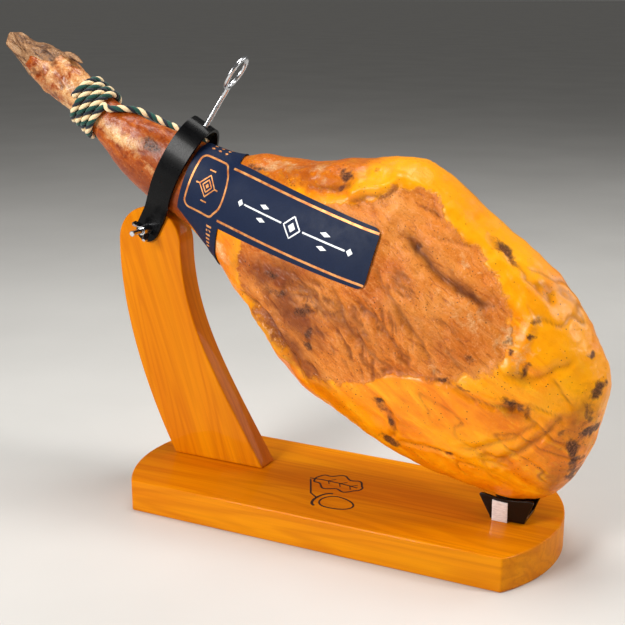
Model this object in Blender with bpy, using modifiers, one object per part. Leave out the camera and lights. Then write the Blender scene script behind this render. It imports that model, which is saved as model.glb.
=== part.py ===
"""Cured ham clamped in its wooden carving stand.

Frame: metres, +Z up, origin at the centre of the board's underside.
+X runs along the board towards the thick end of the ham, +Y away from its front.
"""

import math

import bmesh
import bpy
import numpy as np
from mathutils import Matrix, Vector
from mathutils.bvhtree import BVHTree

GAP = 0.0003             # clearance between touching pieces
MID_Y = 0.013            # middle plane of the upright, the collar and the shank

# Board
BOARD_EDGE = 0.400       # straight part of each long edge
BOARD_WIDTH = 0.174
BOARD_HEIGHT = 0.034
BOARD_END_RISE = 0.0285  # how far the arc at each end stands out
EDGE_ROUND = 0.0018

# Upright
UPRIGHT_THICK = 0.028
UPRIGHT_FOOT = (-0.2012, -0.0926)    # x of its outer and inner foot
UPRIGHT_HEAD = (-0.2262, 0.2670)     # centre of the rounded head
HEAD_RADIUS = 0.0385

# Collar: a strap bent over the shank, bolted through the head of the upright
PIVOT = (-0.2262, 0.2822)            # bolt centre in x and z
COLLAR_TILT = math.radians(29.5)     # lean of the collar from the vertical
STRAP_WIDTH = 0.0268
STRAP_THICK = 0.003
COLLAR_RISE = 0.1300                 # bolt centre to the outside of the crest
BOLT_RADIUS = 0.003
BOLT_FRONT = 0.031                   # bolt end beyond the upright's front face
NUT_SPAN = 0.024

# Clamp screw with its ring
SCREW_TILT = math.radians(34.0)
SCREW_RADIUS = 0.0029
RING_RADIUS = 0.0172
RING_WIRE = 0.0024
RING_TURN = math.radians(98)         # turn of the ring about the screw's axis
RING_CENTRE_RISE = 0.0655            # crest to the centre of the ring
SCREW_SHIFT = (0.004, -0.003)        # from the crest's middle: along the shank, sideways

# Rope
ROPE_RADIUS = 0.0037
ROPE_PITCH = 0.0081
ROPE_STAND_OFF = 0.0010               # clears the skin between the route's points
ROPE_FRONT_PASSES = 4

# Cradle and its steel band
CRADLE_BOTTOM = (0.1640, 0.1975)     # x range of the bottom plate
CRADLE_FLARE = (-0.0135, 0.0095)     # change of that range at the top of a wing
CRADLE_MID_Y = 0.0050
CRADLE_HALF_BOTTOM = 0.0155
CRADLE_HALF_TOP = 0.0160
CRADLE_RISE = 0.0241
CRADLE_DIP = 0.0042                  # hollow of each wing's top edge, which the ham rests in
CRADLE_THICK = 0.003
BAND_RANGE = (0.1658, 0.1812)        # x range of the steel band
BAND_THICK = 0.0012

# Ham: lofted along an axis that runs down from the hoof to the butt
HAM_ORIGIN = Vector((-0.190, MID_Y, 0.350))
HAM_SLOPE = math.radians(35)
HAM_AXIS = Vector((math.cos(HAM_SLOPE), 0, -math.sin(HAM_SLOPE)))
HAM_UP = Vector((math.sin(HAM_SLOPE), 0, math.cos(HAM_SLOPE)))
HAM_DRIFT = -0.016       # how far the butt swings towards the front over one metre
HAM_RINGS = 50
HAM_SIDES = 32

# Each station: distance along the axis, upper edge, lower edge, half thickness, fullness
HAM_STATIONS = (
    (-0.2535, -0.0170, -0.0225, 0.0030, 2.0),   # hoof tip
    (-0.2460, -0.0105, -0.0305, 0.0105, 2.1),
    (-0.2280, -0.0080, -0.0315, 0.0165, 2.2),
    (-0.2050, 0.0013, -0.0365, 0.0195, 2.2),    # coronet
    (-0.1780, 0.0055, -0.0405, 0.0210, 2.1),    # pastern
    (-0.1500, 0.0045, -0.0385, 0.0195, 2.0),
    (-0.1220, 0.0035, -0.0375, 0.0180, 2.0),    # seat of the rope
    (-0.1000, 0.0043, -0.0405, 0.0185, 2.0),
    (-0.0750, 0.0088, -0.0467, 0.0205, 2.0),
    (-0.0450, 0.0176, -0.0526, 0.0235, 2.0),    # hock
    (-0.0100, 0.0302, -0.0533, 0.0246, 2.0),    # under the collar
    (0.0250, 0.0412, -0.0475, 0.0262, 2.0),
    (0.0500, 0.0525, -0.0465, 0.0310, 2.0),     # under the label
    (0.0680, 0.0690, -0.0475, 0.0370, 2.1),
    (0.0900, 0.0815, -0.0500, 0.0430, 2.1),
    (0.1250, 0.1053, -0.0595, 0.0530, 2.2),
    (0.1600, 0.1368, -0.0650, 0.0610, 2.2),
    (0.2000, 0.1690, -0.0830, 0.0680, 2.2),
    (0.2200, 0.1757, -0.0855, 0.0705, 2.2),
    (0.2500, 0.1758, -0.0885, 0.0720, 2.2),     # widest
    (0.3000, 0.1715, -0.0815, 0.0730, 2.2),
    (0.3500, 0.1712, -0.0745, 0.0705, 2.2),
    (0.3950, 0.1638, -0.0640, 0.0645, 2.1),
    (0.4350, 0.1460, -0.0470, 0.0550, 2.1),
    (0.4680, 0.1275, -0.0320, 0.0420, 2.0),
    (0.4885, 0.0870, -0.0145, 0.0290, 2.0),
    (0.4990, 0.0510, 0.0045, 0.0150, 2.0),
    (0.5020, 0.0320, 0.0220, 0.0030, 2.0),      # butt
)
# Cleft between the two toes of the hoof: where it starts, how far it runs, where it lies
CLEFT_START = -0.2535
CLEFT_LENGTH = 0.042
CLEFT_RISE = -0.0185
CLEFT_WIDTH = 0.0045
CLEFT_DEPTH = 0.62
DEWCLAW_ROOT = (-0.185, 0.0060)
DEWCLAW_TIP = (-0.1575, 0.0125)
DEWCLAW_RADIUS = 0.0052

# Label: a stiff card, its tongue lies on the ham and its collar band wraps the shank
LABEL_START = Vector((-0.1711, 0, 0.3433))   # middle of the edge next to the collar
LABEL_SLOPE = math.radians(13.7)
LABEL_LENGTH = 0.235
LABEL_HALF = 0.034        # half width of the tongue where it leaves the band
LABEL_END_HALF = 0.0285   # half width at its far end
LABEL_BAND = 0.056        # width of the band that goes round the shank
LABEL_SLANT = 0.12        # lean of the edge next to the collar
LABEL_WRAP = 0.070        # length of each end of the band beyond the tongue's edge
LABEL_LOWER_TIP = (0.041, 0.053)      # where the lower end of the band has narrowed to
LABEL_UPPER_TIP = (0.008, 0.047)
LABEL_THICK = 0.0007
LABEL_CORNER = 0.008


def remove_old_objects():
    for old in list(bpy.data.objects):
        bpy.data.objects.remove(old, do_unlink=True)


def new_collection(name):
    collection = bpy.data.collections.new(name)
    bpy.context.scene.collection.children.link(collection)
    return collection


def make_material(name, colour, roughness, metallic=0.0):
    material = bpy.data.materials.new(name)
    material.use_nodes = True
    shader = material.node_tree.nodes["Principled BSDF"]
    shader.inputs["Base Color"].default_value = (*colour, 1.0)
    shader.inputs["Roughness"].default_value = roughness
    shader.inputs["Metallic"].default_value = metallic
    material.diffuse_color = (*colour, 1.0)
    return material


def add_object(name, mesh, collection, material=None):
    obj = bpy.data.objects.new(name, mesh)
    collection.objects.link(obj)
    if material:
        mesh.materials.append(material)
    return obj


def mesh_from_bmesh(name, bm, recalculate=True):
    if recalculate:
        bmesh.ops.recalc_face_normals(bm, faces=bm.faces)
    mesh = bpy.data.meshes.new(name)
    bm.to_mesh(mesh)
    bm.free()
    return mesh


def shade_round(obj, angle=40):
    obj.data.shade_smooth()
    obj.data.set_sharp_from_angle(angle=math.radians(angle))


def curve_to_object(curve_obj, collection):
    """Turn a curve object into a mesh object with welded caps."""
    name = curve_obj.name
    curve_obj.name = name + "_guide"
    graph = bpy.context.evaluated_depsgraph_get()
    mesh = bpy.data.meshes.new_from_object(curve_obj.evaluated_get(graph))
    bm = bmesh.new()
    bm.from_mesh(mesh)
    bmesh.ops.remove_doubles(bm, verts=bm.verts, dist=0.00001)
    bmesh.ops.recalc_face_normals(bm, faces=bm.faces)
    bm.to_mesh(mesh)
    bm.free()
    mesh.name = name
    obj = bpy.data.objects.new(name, mesh)
    obj.matrix_world = curve_obj.matrix_world.copy()
    collection.objects.link(obj)
    bpy.data.objects.remove(curve_obj, do_unlink=True)
    return obj


def flat_plate(name, outline, thickness, placement, collection, material):
    """Extrude a closed outline to a plate centred on its own plane."""
    curve = bpy.data.curves.new(name, "CURVE")
    curve.dimensions = "2D"
    curve.fill_mode = "BOTH"
    curve.extrude = thickness / 2
    spline = curve.splines.new("POLY")
    spline.points.add(len(outline) - 1)
    for point, (x, y) in zip(spline.points, outline):
        point.co = (x, y, 0, 1)
    spline.use_cyclic_u = True
    curve.materials.append(material)
    guide = bpy.data.objects.new(name, curve)
    guide.matrix_world = placement
    collection.objects.link(guide)
    bpy.context.view_layer.update()
    return curve_to_object(guide, collection)


def round_edges(obj, width, segments=2, angle=35):
    bevel = obj.modifiers.new("round_edges", "BEVEL")
    bevel.width = width
    bevel.segments = segments
    bevel.limit_method = "ANGLE"
    bevel.angle_limit = math.radians(angle)
    return bevel


def cylinder(name, radius, start, end, collection, material=None, sides=24):
    """A capped cylinder between two points."""
    start, end = Vector(start), Vector(end)
    run = end - start
    bm = bmesh.new()
    bmesh.ops.create_cone(bm, cap_ends=True, segments=sides, radius1=radius, radius2=radius,
                          depth=run.length)
    turn = run.to_track_quat("Z", "Y").to_matrix().to_4x4()
    bm.transform(Matrix.Translation((start + end) / 2) @ turn)
    return add_object(name, mesh_from_bmesh(name, bm, recalculate=False), collection, material)


def cutter_cylinder(name, radius, start, end, cutters, sides=20):
    obj = cylinder(name, radius, start, end, cutters, sides=sides)
    obj.hide_render = True
    obj.display_type = "WIRE"
    return obj


def boolean(obj, other, operation):
    modifier = obj.modifiers.new(other.name, "BOOLEAN")
    modifier.operation = operation
    modifier.solver = "EXACT"
    modifier.object = other


def hide_helper(obj):
    obj.hide_render = True
    obj.display_type = "WIRE"


def bezier_points(start, start_handle, end_handle, end, count):
    """Points along one cubic segment, without its end point."""
    points = []
    for step in range(count):
        t = step / count
        weights = ((1 - t) ** 3, 3 * t * (1 - t) ** 2, 3 * t * t * (1 - t), t ** 3)
        corners = (start, start_handle, end_handle, end)
        points.append(tuple(sum(w * c[axis] for w, c in zip(weights, corners)) for axis in (0, 1)))
    return points


def smooth_rows(rows, per_span):
    """Catmull-Rom curve through rows of numbers, per_span samples for each span."""
    rows = np.array(rows, dtype=float)
    padded = np.vstack((2 * rows[0] - rows[1], rows, 2 * rows[-1] - rows[-2]))
    samples = []
    for span in range(len(rows) - 1):
        before, left, right, after = padded[span:span + 4]
        for step in range(per_span):
            t = step / per_span
            samples.append(0.5 * (2 * left + (right - before) * t
                                  + (2 * before - 5 * left + 4 * right - after) * t * t
                                  + (3 * left - before - 3 * right + after) * t ** 3))
    samples.append(rows[-1])
    return np.array(samples)


def resample(rows, count):
    """Rows at equal steps of the length travelled in the first three columns."""
    steps = np.linalg.norm(np.diff(rows[:, :3], axis=0), axis=1)
    travelled = np.concatenate(([0.0], np.cumsum(steps)))
    wanted = np.linspace(0.0, travelled[-1], count)
    return np.array([np.interp(wanted, travelled, rows[:, column])
                     for column in range(rows.shape[1])]).T


# ---------------------------------------------------------------- stand

def build_board(collection, wood):
    half_edge, half_width = BOARD_EDGE / 2, BOARD_WIDTH / 2
    radius = (half_width ** 2 + BOARD_END_RISE ** 2) / (2 * BOARD_END_RISE)
    reach = math.asin(half_width / radius)
    centre = half_edge + BOARD_END_RISE - radius
    arc_steps = 14
    right_arc = []
    for step in range(arc_steps + 1):
        angle = -reach + 2 * reach * step / arc_steps
        right_arc.append((centre + radius * math.cos(angle), radius * math.sin(angle)))
    left_arc = [(-x, -y) for x, y in right_arc]
    placement = Matrix.Translation((0, 0, BOARD_HEIGHT / 2))
    board = flat_plate("base_board", right_arc + left_arc, BOARD_HEIGHT, placement,
                       collection, wood)
    round_edges(board, EDGE_ROUND)
    return board


def upright_outline():
    outer_foot = (UPRIGHT_FOOT[0], BOARD_HEIGHT + GAP)
    inner_foot = (UPRIGHT_FOOT[1], BOARD_HEIGHT + GAP)
    head_x, head_z = UPRIGHT_HEAD
    inner_head = (head_x + HEAD_RADIUS, head_z - 0.004)
    outer_head = (head_x - HEAD_RADIUS, head_z - 0.004)
    inner_side = bezier_points(inner_foot, (-0.1480, 0.1290), (-0.1860, 0.1820), inner_head, 12)
    outer_side = bezier_points(outer_head, (-0.2660, 0.1960), (-0.2430, 0.1130), outer_foot, 12)
    head = []
    head_steps = 12
    for step in range(head_steps):
        angle = math.pi * step / head_steps
        head.append((head_x + HEAD_RADIUS * math.cos(angle), head_z + HEAD_RADIUS * math.sin(angle)))
    return inner_side + head + outer_side + [outer_foot]


def build_upright(collection, cutters, wood):
    # The plate's own plane is turned to stand in XZ.
    placement = Matrix.Translation((0, MID_Y, 0)) @ Matrix.Rotation(math.radians(90), 4, "X")
    upright = flat_plate("upright", upright_outline(), UPRIGHT_THICK, placement, collection, wood)
    hole = cutter_cylinder("bolt_hole", BOLT_RADIUS + GAP, (PIVOT[0], MID_Y - 0.04, PIVOT[1]),
                           (PIVOT[0], MID_Y + 0.04, PIVOT[1]), cutters)
    round_edges(upright, EDGE_ROUND)
    boolean(upright, hole, "DIFFERENCE")
    return upright


def collar_axes():
    up = Vector((math.sin(COLLAR_TILT), 0, math.cos(COLLAR_TILT)))
    across = Vector((math.cos(COLLAR_TILT), 0, -math.sin(COLLAR_TILT)))
    return up, across


def screw_foot():
    """Where the clamp screw passes through the middle surface of the collar's crest."""
    up, across = collar_axes()
    foot = Vector((PIVOT[0], MID_Y, PIVOT[1])) + up * (COLLAR_RISE - STRAP_THICK / 2)
    return foot + across * SCREW_SHIFT[0] + Vector((0, SCREW_SHIFT[1], 0))


def build_collar(collection, cutters, metal):
    """An open strap surface, thickened; its ends are half-round ears."""
    up, across = collar_axes()
    pivot = Vector((PIVOT[0], MID_Y, PIVOT[1]))
    ear = UPRIGHT_THICK / 2 + GAP + STRAP_THICK / 2
    crest = COLLAR_RISE - STRAP_THICK / 2
    # half of the arch: distance from the middle plane, height above the bolt
    arch = ((ear, 0.016), (ear + 0.0014, 0.025), (0.0232, 0.042), (0.0278, 0.059), (0.0290, 0.076),
            (0.0273, 0.092), (0.0228, 0.107), (0.0163, 0.1185), (0.0085, 0.1257), (0.0, crest))
    half = smooth_rows(arch, 2)
    path = [(-y, h) for y, h in half] + [(y, h) for y, h in half[-2::-1]]
    columns = 6
    ear_rows = 4
    half_width = STRAP_WIDTH / 2
    bm = bmesh.new()

    def row(y, heights):
        verts = []
        for column in range(columns + 1):
            offset = -half_width + STRAP_WIDTH * column / columns
            place = pivot + up * heights(offset) + across * offset
            verts.append(bm.verts.new((place.x, MID_Y + y, place.z)))
        return verts

    def ear_height(level):
        ear_top = half[0][1]
        return lambda offset: (-math.sqrt(max(half_width ** 2 - offset ** 2, 0.0)) * (1 - level)
                               + ear_top * level)

    rows = [row(-ear, ear_height(level / ear_rows)) for level in range(ear_rows)]
    rows += [row(y, lambda _, h=h: h) for y, h in path]
    rows += [row(ear, ear_height(level / ear_rows)) for level in range(ear_rows - 1, -1, -1)]
    for lower, upper in zip(rows, rows[1:]):
        for left in range(columns):
            bm.faces.new((lower[left], lower[left + 1], upper[left + 1], upper[left]))
    collar = add_object("collar", mesh_from_bmesh("collar", bm), collection, metal)
    solid = collar.modifiers.new("thickness", "SOLIDIFY")
    solid.thickness = STRAP_THICK
    solid.offset = 0
    solid.use_even_offset = True
    bolt_hole = cutter_cylinder("ear_holes", BOLT_RADIUS + GAP, (PIVOT[0], MID_Y - 0.05, PIVOT[1]),
                                (PIVOT[0], MID_Y + 0.05, PIVOT[1]), cutters)
    axis = screw_axis()
    screw_hole = cutter_cylinder("screw_hole", SCREW_RADIUS + 0.0004, screw_foot() - axis * 0.01,
                                 screw_foot() + axis * 0.01, cutters)
    boolean(collar, bolt_hole, "DIFFERENCE")
    boolean(collar, screw_hole, "DIFFERENCE")
    shade_round(collar)
    return collar


def build_pivot_bolt(collection, metal):
    """Round bolt with a low domed head behind the upright."""
    back_face = MID_Y + UPRIGHT_THICK / 2 + 2 * GAP + STRAP_THICK
    front_end = MID_Y - UPRIGHT_THICK / 2 - BOLT_FRONT
    head_radius, head_height, chamfer = 0.0068, 0.0034, 0.0006
    profile = ((0.0, back_face + head_height), (head_radius * 0.6, back_face + head_height * 0.85),
               (head_radius * 0.92, back_face + head_height * 0.4), (head_radius, back_face),
               (BOLT_RADIUS, back_face), (BOLT_RADIUS, front_end + chamfer),
               (BOLT_RADIUS - chamfer, front_end), (0.0, front_end))
    mesh = bpy.data.meshes.new("pivot_bolt")
    mesh.from_pydata([(radius, 0, height) for radius, height in profile],
                     [(i, i + 1) for i in range(len(profile) - 1)], [])
    bolt = add_object("pivot_bolt", mesh, collection, metal)
    # The profile is drawn along Z and turned so that it lies along Y.
    bolt.rotation_euler = (math.radians(-90), 0, 0)
    bolt.location = (PIVOT[0], 0, PIVOT[1])
    screw = bolt.modifiers.new("turn", "SCREW")
    screw.angle = 2 * math.pi
    screw.steps = 18
    screw.render_steps = 18
    screw.use_merge_vertices = True
    screw.merge_threshold = 0.00005
    return bolt


def build_wing_nut(collection, cutters, metal):
    base_y = MID_Y - UPRIGHT_THICK / 2 - STRAP_THICK - 2 * GAP
    hub_length, wing_thick = 0.010, 0.0024
    centre = Vector((PIVOT[0], base_y, PIVOT[1]))
    bm = bmesh.new()
    bmesh.ops.create_cone(bm, cap_ends=True, segments=18, radius1=0.0062, radius2=0.0046,
                          depth=hub_length)
    bm.transform(Matrix.Translation(centre - Vector((0, hub_length / 2, 0)))
                 @ Matrix.Rotation(math.radians(90), 4, "X"))
    nut = add_object("wing_nut", mesh_from_bmesh("wing_nut", bm), collection, metal)
    half_span = NUT_SPAN / 2
    wings = [(0.0, 0.0015), (half_span * 0.62, 0.0042), (half_span, 0.0100), (half_span * 0.98, 0.0148),
             (half_span * 0.78, 0.0165), (half_span * 0.55, 0.0138), (half_span * 0.35, 0.0088), (0.0, 0.0078)]
    outline = wings + [(-x, y) for x, y in wings[-2:0:-1]]
    # Wings stand along the bolt; their line leans down towards the ham.
    lean = Matrix.Rotation(math.radians(53), 4, "Y")
    placement = (Matrix.Translation(centre) @ lean @ Matrix.Rotation(math.radians(180), 4, "Z"))
    wing_plate = flat_plate("wing_plate", outline, wing_thick, placement, cutters, metal)
    hide_helper(wing_plate)
    bore = cutter_cylinder("nut_bore", BOLT_RADIUS + GAP, centre + Vector((0, 0.01, 0)),
                           centre - Vector((0, 0.03, 0)), cutters)
    boolean(nut, wing_plate, "UNION")
    boolean(nut, bore, "DIFFERENCE")
    return nut


def screw_axis():
    return Vector((math.sin(SCREW_TILT), 0, math.cos(SCREW_TILT)))


def build_clamp_screw(collection, cutters, metal, skin):
    """Threaded rod that presses on the shank, with a ring to turn it by."""
    axis, foot = screw_axis(), screw_foot()
    side = Vector((axis.z, 0, -axis.x))
    # The flat tip stops at the first of its middle and rim to reach the skin.
    reach = min(skin.ray_cast(foot + step * SCREW_RADIUS, -axis)[3]
                for step in (Vector(), side, -side, Vector((0, 1, 0)), Vector((0, -1, 0))))
    tip = foot - axis * (reach - GAP * 2)
    ring_centre = foot + axis * RING_CENTRE_RISE
    # The rod stands at the piece's origin so that the piece moves along its own axis.
    screw = cylinder("clamp_screw", SCREW_RADIUS, tip, ring_centre - axis * RING_RADIUS, collection,
                     metal, sides=14)
    bm = bmesh.new()
    ring_steps, wire_sides = 24, 10
    flat = side * math.cos(RING_TURN) + Vector((0, 1, 0)) * math.sin(RING_TURN)
    normal = axis.cross(flat)
    circles = []
    for step in range(ring_steps):
        angle = 2 * math.pi * step / ring_steps
        outward = axis * math.cos(angle) + flat * math.sin(angle)
        circle = []
        for corner in range(wire_sides):
            turn = 2 * math.pi * corner / wire_sides
            place = (ring_centre + outward * (RING_RADIUS + RING_WIRE * math.cos(turn))
                     + normal * RING_WIRE * math.sin(turn))
            circle.append(bm.verts.new(place))
        circles.append(circle)
    for step in range(ring_steps):
        here, there = circles[step], circles[(step + 1) % ring_steps]
        for corner in range(wire_sides):
            after = (corner + 1) % wire_sides
            bm.faces.new((here[corner], here[after], there[after], there[corner]))
    ring = add_object("screw_ring", mesh_from_bmesh("screw_ring", bm), cutters, metal)
    hide_helper(ring)
    boolean(screw, ring, "UNION")
    shade_round(screw)
    return screw


def sheet_between(name, path, x_range, thickness, collection, material, columns=6):
    """A bent sheet: path gives y and z of each row, x_range(row, column) its x and its dip."""
    bm = bmesh.new()
    rows = []
    for index, (y, z) in enumerate(path):
        verts = []
        for column in range(columns + 1):
            x, dip = x_range(index / (len(path) - 1), column / columns)
            verts.append(bm.verts.new((x, y, z - dip)))
        rows.append(verts)
    for lower, upper in zip(rows, rows[1:]):
        for left in range(columns):
            bm.faces.new((lower[left], lower[left + 1], upper[left + 1], upper[left]))
    sheet = add_object(name, mesh_from_bmesh(name, bm), collection, material)
    solid = sheet.modifiers.new("thickness", "SOLIDIFY")
    solid.thickness = thickness
    solid.offset = 0
    solid.use_even_offset = True
    return sheet


def cradle_path(offset):
    """Bent profile in y and z: front wing, bottom, back wing; offset moves it outwards."""
    floor = BOARD_HEIGHT + GAP + BAND_THICK + GAP + CRADLE_THICK / 2
    slope = Vector((CRADLE_HALF_TOP - CRADLE_HALF_BOTTOM, CRADLE_RISE)).normalized()
    normal = Vector((slope.y, -slope.x))
    bottom_y = CRADLE_HALF_BOTTOM + offset * (1 + normal.y) / normal.x
    rows = 5
    wing = []
    for step in range(rows + 1):
        share = step / rows
        wing.append((bottom_y + (CRADLE_HALF_TOP - CRADLE_HALF_BOTTOM) * share,
                     floor - offset + CRADLE_RISE * share))
    return [(CRADLE_MID_Y - y, z) for y, z in wing[::-1]] + [(CRADLE_MID_Y + y, z) for y, z in wing]


def build_cradle(collection, material):
    def x_range(along, share):
        level = abs(2 * along - 1)             # 0 at the bottom, 1 at the top of a wing
        low = CRADLE_BOTTOM[0] + CRADLE_FLARE[0] * level
        high = CRADLE_BOTTOM[1] + CRADLE_FLARE[1] * level
        rounding = 0.006 * max(0.0, (level - 0.86) / 0.14) ** 2
        low, high = low + rounding, high - rounding
        dip = CRADLE_DIP * math.sin(math.pi * share) * max(0.0, (level - 0.5) / 0.5)
        return low + (high - low) * share, dip

    return sheet_between("cradle", cradle_path(0.0), x_range, CRADLE_THICK, collection, material)


def build_cradle_band(collection, material):
    offset = CRADLE_THICK / 2 + GAP + BAND_THICK / 2

    def x_range(along, share):
        level = abs(2 * along - 1)
        x = BAND_RANGE[0] + (BAND_RANGE[1] - BAND_RANGE[0]) * share
        low = CRADLE_BOTTOM[0] + CRADLE_FLARE[0] * level
        high = CRADLE_BOTTOM[1] + CRADLE_FLARE[1] * level
        dip = CRADLE_DIP * math.sin(math.pi * (x - low) / (high - low)) * max(0.0, (level - 0.5) / 0.5)
        return x, dip

    return sheet_between("cradle_band", cradle_path(offset), x_range, BAND_THICK, collection,
                         material, columns=3)


# ---------------------------------------------------------------- ham

def ham_rows():
    return resample(smooth_rows(HAM_STATIONS, 8), HAM_RINGS)


def ham_section(row, sides):
    """Closed section at one station: fuller than an ellipse, split by the cleft near the tip."""
    along, upper, lower, half_thick, fullness = row
    middle, half = (upper + lower) / 2, (upper - lower) / 2
    centre = HAM_ORIGIN + HAM_AXIS * along
    drift = HAM_DRIFT * max(along, 0.0)
    cleft_share = max(0.0, 1 - (along - CLEFT_START) / CLEFT_LENGTH)
    points = []
    for side in range(sides):
        angle = 2 * math.pi * side / sides
        rise = math.copysign(abs(math.cos(angle)) ** (2 / fullness), math.cos(angle))
        reach = math.copysign(abs(math.sin(angle)) ** (2 / fullness), math.sin(angle))
        height = middle + half * rise
        notch = math.exp(-((height - CLEFT_RISE) / CLEFT_WIDTH) ** 2)
        depth = half_thick * reach * (1 - CLEFT_DEPTH * cleft_share ** 0.5 * notch)
        place = centre + HAM_UP * height
        points.append(Vector((place.x, MID_Y + drift - depth, place.z)))
    return points


def build_ham(collection, cutters, material):
    rows = ham_rows()
    bm = bmesh.new()
    rings = [[bm.verts.new(point) for point in ham_section(row, HAM_SIDES)] for row in rows]
    for here, there in zip(rings, rings[1:]):
        for side in range(HAM_SIDES):
            after = (side + 1) % HAM_SIDES
            bm.faces.new((here[side], here[after], there[after], there[side]))
    for ring in (rings[0], rings[-1]):
        middle = bm.verts.new(sum((vert.co for vert in ring), Vector()) / HAM_SIDES)
        for side in range(HAM_SIDES):
            bm.faces.new((middle, ring[side], ring[(side + 1) % HAM_SIDES]))
    ham = add_object("ham", mesh_from_bmesh("ham", bm), collection, material)
    boolean(ham, build_dewclaw(cutters), "UNION")
    shade_round(ham, 60)
    return ham


def build_dewclaw(cutters):
    root = HAM_ORIGIN + HAM_AXIS * DEWCLAW_ROOT[0] + HAM_UP * DEWCLAW_ROOT[1]
    tip = HAM_ORIGIN + HAM_AXIS * DEWCLAW_TIP[0] + HAM_UP * DEWCLAW_TIP[1]
    bm = bmesh.new()
    bmesh.ops.create_uvsphere(bm, u_segments=12, v_segments=8, radius=1)
    run = tip - root
    turn = run.to_track_quat("Z", "Y").to_matrix().to_4x4()
    size = Matrix.Diagonal((DEWCLAW_RADIUS * 0.75, DEWCLAW_RADIUS, run.length / 2, 1))
    bm.transform(Matrix.Translation((root + tip) / 2) @ turn @ size)
    dewclaw = add_object("dewclaw", mesh_from_bmesh("dewclaw", bm), cutters)
    hide_helper(dewclaw)
    return dewclaw


def skin_of(obj):
    """Search tree of an object's evaluated surface."""
    graph = bpy.context.evaluated_depsgraph_get()
    evaluated = obj.evaluated_get(graph)
    bm = bmesh.new()
    bm.from_mesh(evaluated.to_mesh())
    bm.transform(obj.matrix_world)
    tree = BVHTree.FromBMesh(bm)
    bm.free()
    evaluated.to_mesh_clear()
    return tree


def axis_row(along):
    """Middle of the ham's section at a distance along its axis."""
    rows = smooth_rows(HAM_STATIONS, 8)
    upper, lower = (np.interp(along, rows[:, 0], rows[:, column]) for column in (1, 2))
    place = HAM_ORIGIN + HAM_AXIS * along + HAM_UP * ((upper + lower) / 2)
    return Vector((place.x, MID_Y + HAM_DRIFT * max(along, 0.0), place.z))


def skin_point(skin, along, angle, lift):
    """Point above the skin: angle 0 is on top, 90 degrees at the front."""
    centre = axis_row(along)
    outward = HAM_UP * math.cos(angle) - Vector((0, 1, 0)) * math.sin(angle)
    hit = skin.ray_cast(centre + outward * 0.2, -outward)[0]
    return hit + outward * lift


def rope_route(skin):
    """Turns round the shank, then a tail along its top that ends under the collar."""
    lift = ROPE_RADIUS + ROPE_STAND_OFF
    first = -0.1365
    steps_per_turn = 14
    start_angle, end_angle = math.radians(-80), math.radians(360 * ROPE_FRONT_PASSES - 42)
    turns = (end_angle - start_angle) / (2 * math.pi)
    steps = round(turns * steps_per_turn)
    route = []
    for step in range(steps + 1):
        angle = start_angle + (end_angle - start_angle) * step / steps
        along = first + ROPE_PITCH * (angle - start_angle) / (2 * math.pi)
        # on the front the rope climbs from the bottom to the top
        route.append(skin_point(skin, along, -angle, lift))
    tail = ((-0.096, 40), (-0.086, 18), (-0.074, -2), (-0.060, -14), (-0.044, -18), (-0.030, -18),
            (-0.018, -18), (-0.006, -20), (0.003, -24))
    for along, degrees in tail:
        route.append(skin_point(skin, along, math.radians(degrees), lift))
    return route


def build_rope(collection, material, skin):
    points = rope_route(skin)
    curve = bpy.data.curves.new("rope", "CURVE")
    curve.dimensions = "3D"
    curve.bevel_depth = ROPE_RADIUS
    curve.bevel_resolution = 2
    curve.use_fill_caps = True
    spline = curve.splines.new("POLY")
    spline.points.add(len(points) - 1)
    for point, place in zip(spline.points, points):
        point.co = (*place, 1)
    curve.materials.append(material)
    guide = bpy.data.objects.new("rope", curve)
    collection.objects.link(guide)
    bpy.context.view_layer.update()
    rope = curve_to_object(guide, collection)
    shade_round(rope, 50)
    return rope


def label_directions():
    along = Vector((math.cos(LABEL_SLOPE), 0, -math.sin(LABEL_SLOPE)))
    return along, Vector((math.sin(LABEL_SLOPE), 0, math.cos(LABEL_SLOPE)))


def label_point(skin, distance, reach, lift):
    """Walk over the skin from the label's middle line, across it, for a given reach."""
    along, up = label_directions()
    start = LABEL_START + along * distance
    front = skin.ray_cast(Vector((start.x, -0.3, start.z)), Vector((0, 1, 0)))[0]
    centre = front + Vector((0, 0.022, 0))
    side = math.copysign(1.0, reach)
    here, travelled, angle = front, 0.0, 0.0
    stride = math.radians(3)
    while True:
        angle += stride
        outward = up * math.sin(angle * side) - Vector((0, 1, 0)) * math.cos(angle)
        there = skin.ray_cast(centre + outward * 0.2, -outward)[0]
        step = (there - here).length
        if travelled + step >= abs(reach) or angle > math.pi:
            share = min(1.0, (abs(reach) - travelled) / step)
            return here.lerp(there, share) + outward * lift
        here, travelled = there, travelled + step


def label_column(share, rows, wrap_rows):
    """Places of one band column: (distance along the label, reach across it)."""
    places = []
    for row in range(-rows - wrap_rows, rows + wrap_rows + 1):
        beyond = max(0.0, (abs(row) - rows) / wrap_rows)
        reach = math.copysign(LABEL_HALF * min(1.0, abs(row) / rows) + LABEL_WRAP * beyond, row)
        tip = LABEL_UPPER_TIP if row > 0 else LABEL_LOWER_TIP
        narrowing = min(1.0, beyond * 2.2)
        near = LABEL_SLANT * max(-LABEL_HALF, min(LABEL_HALF, reach))
        near += (tip[0] - near) * narrowing
        far = LABEL_BAND + (tip[1] - LABEL_BAND) * narrowing
        places.append((near + (far - near) * share, reach))
    return places


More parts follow.
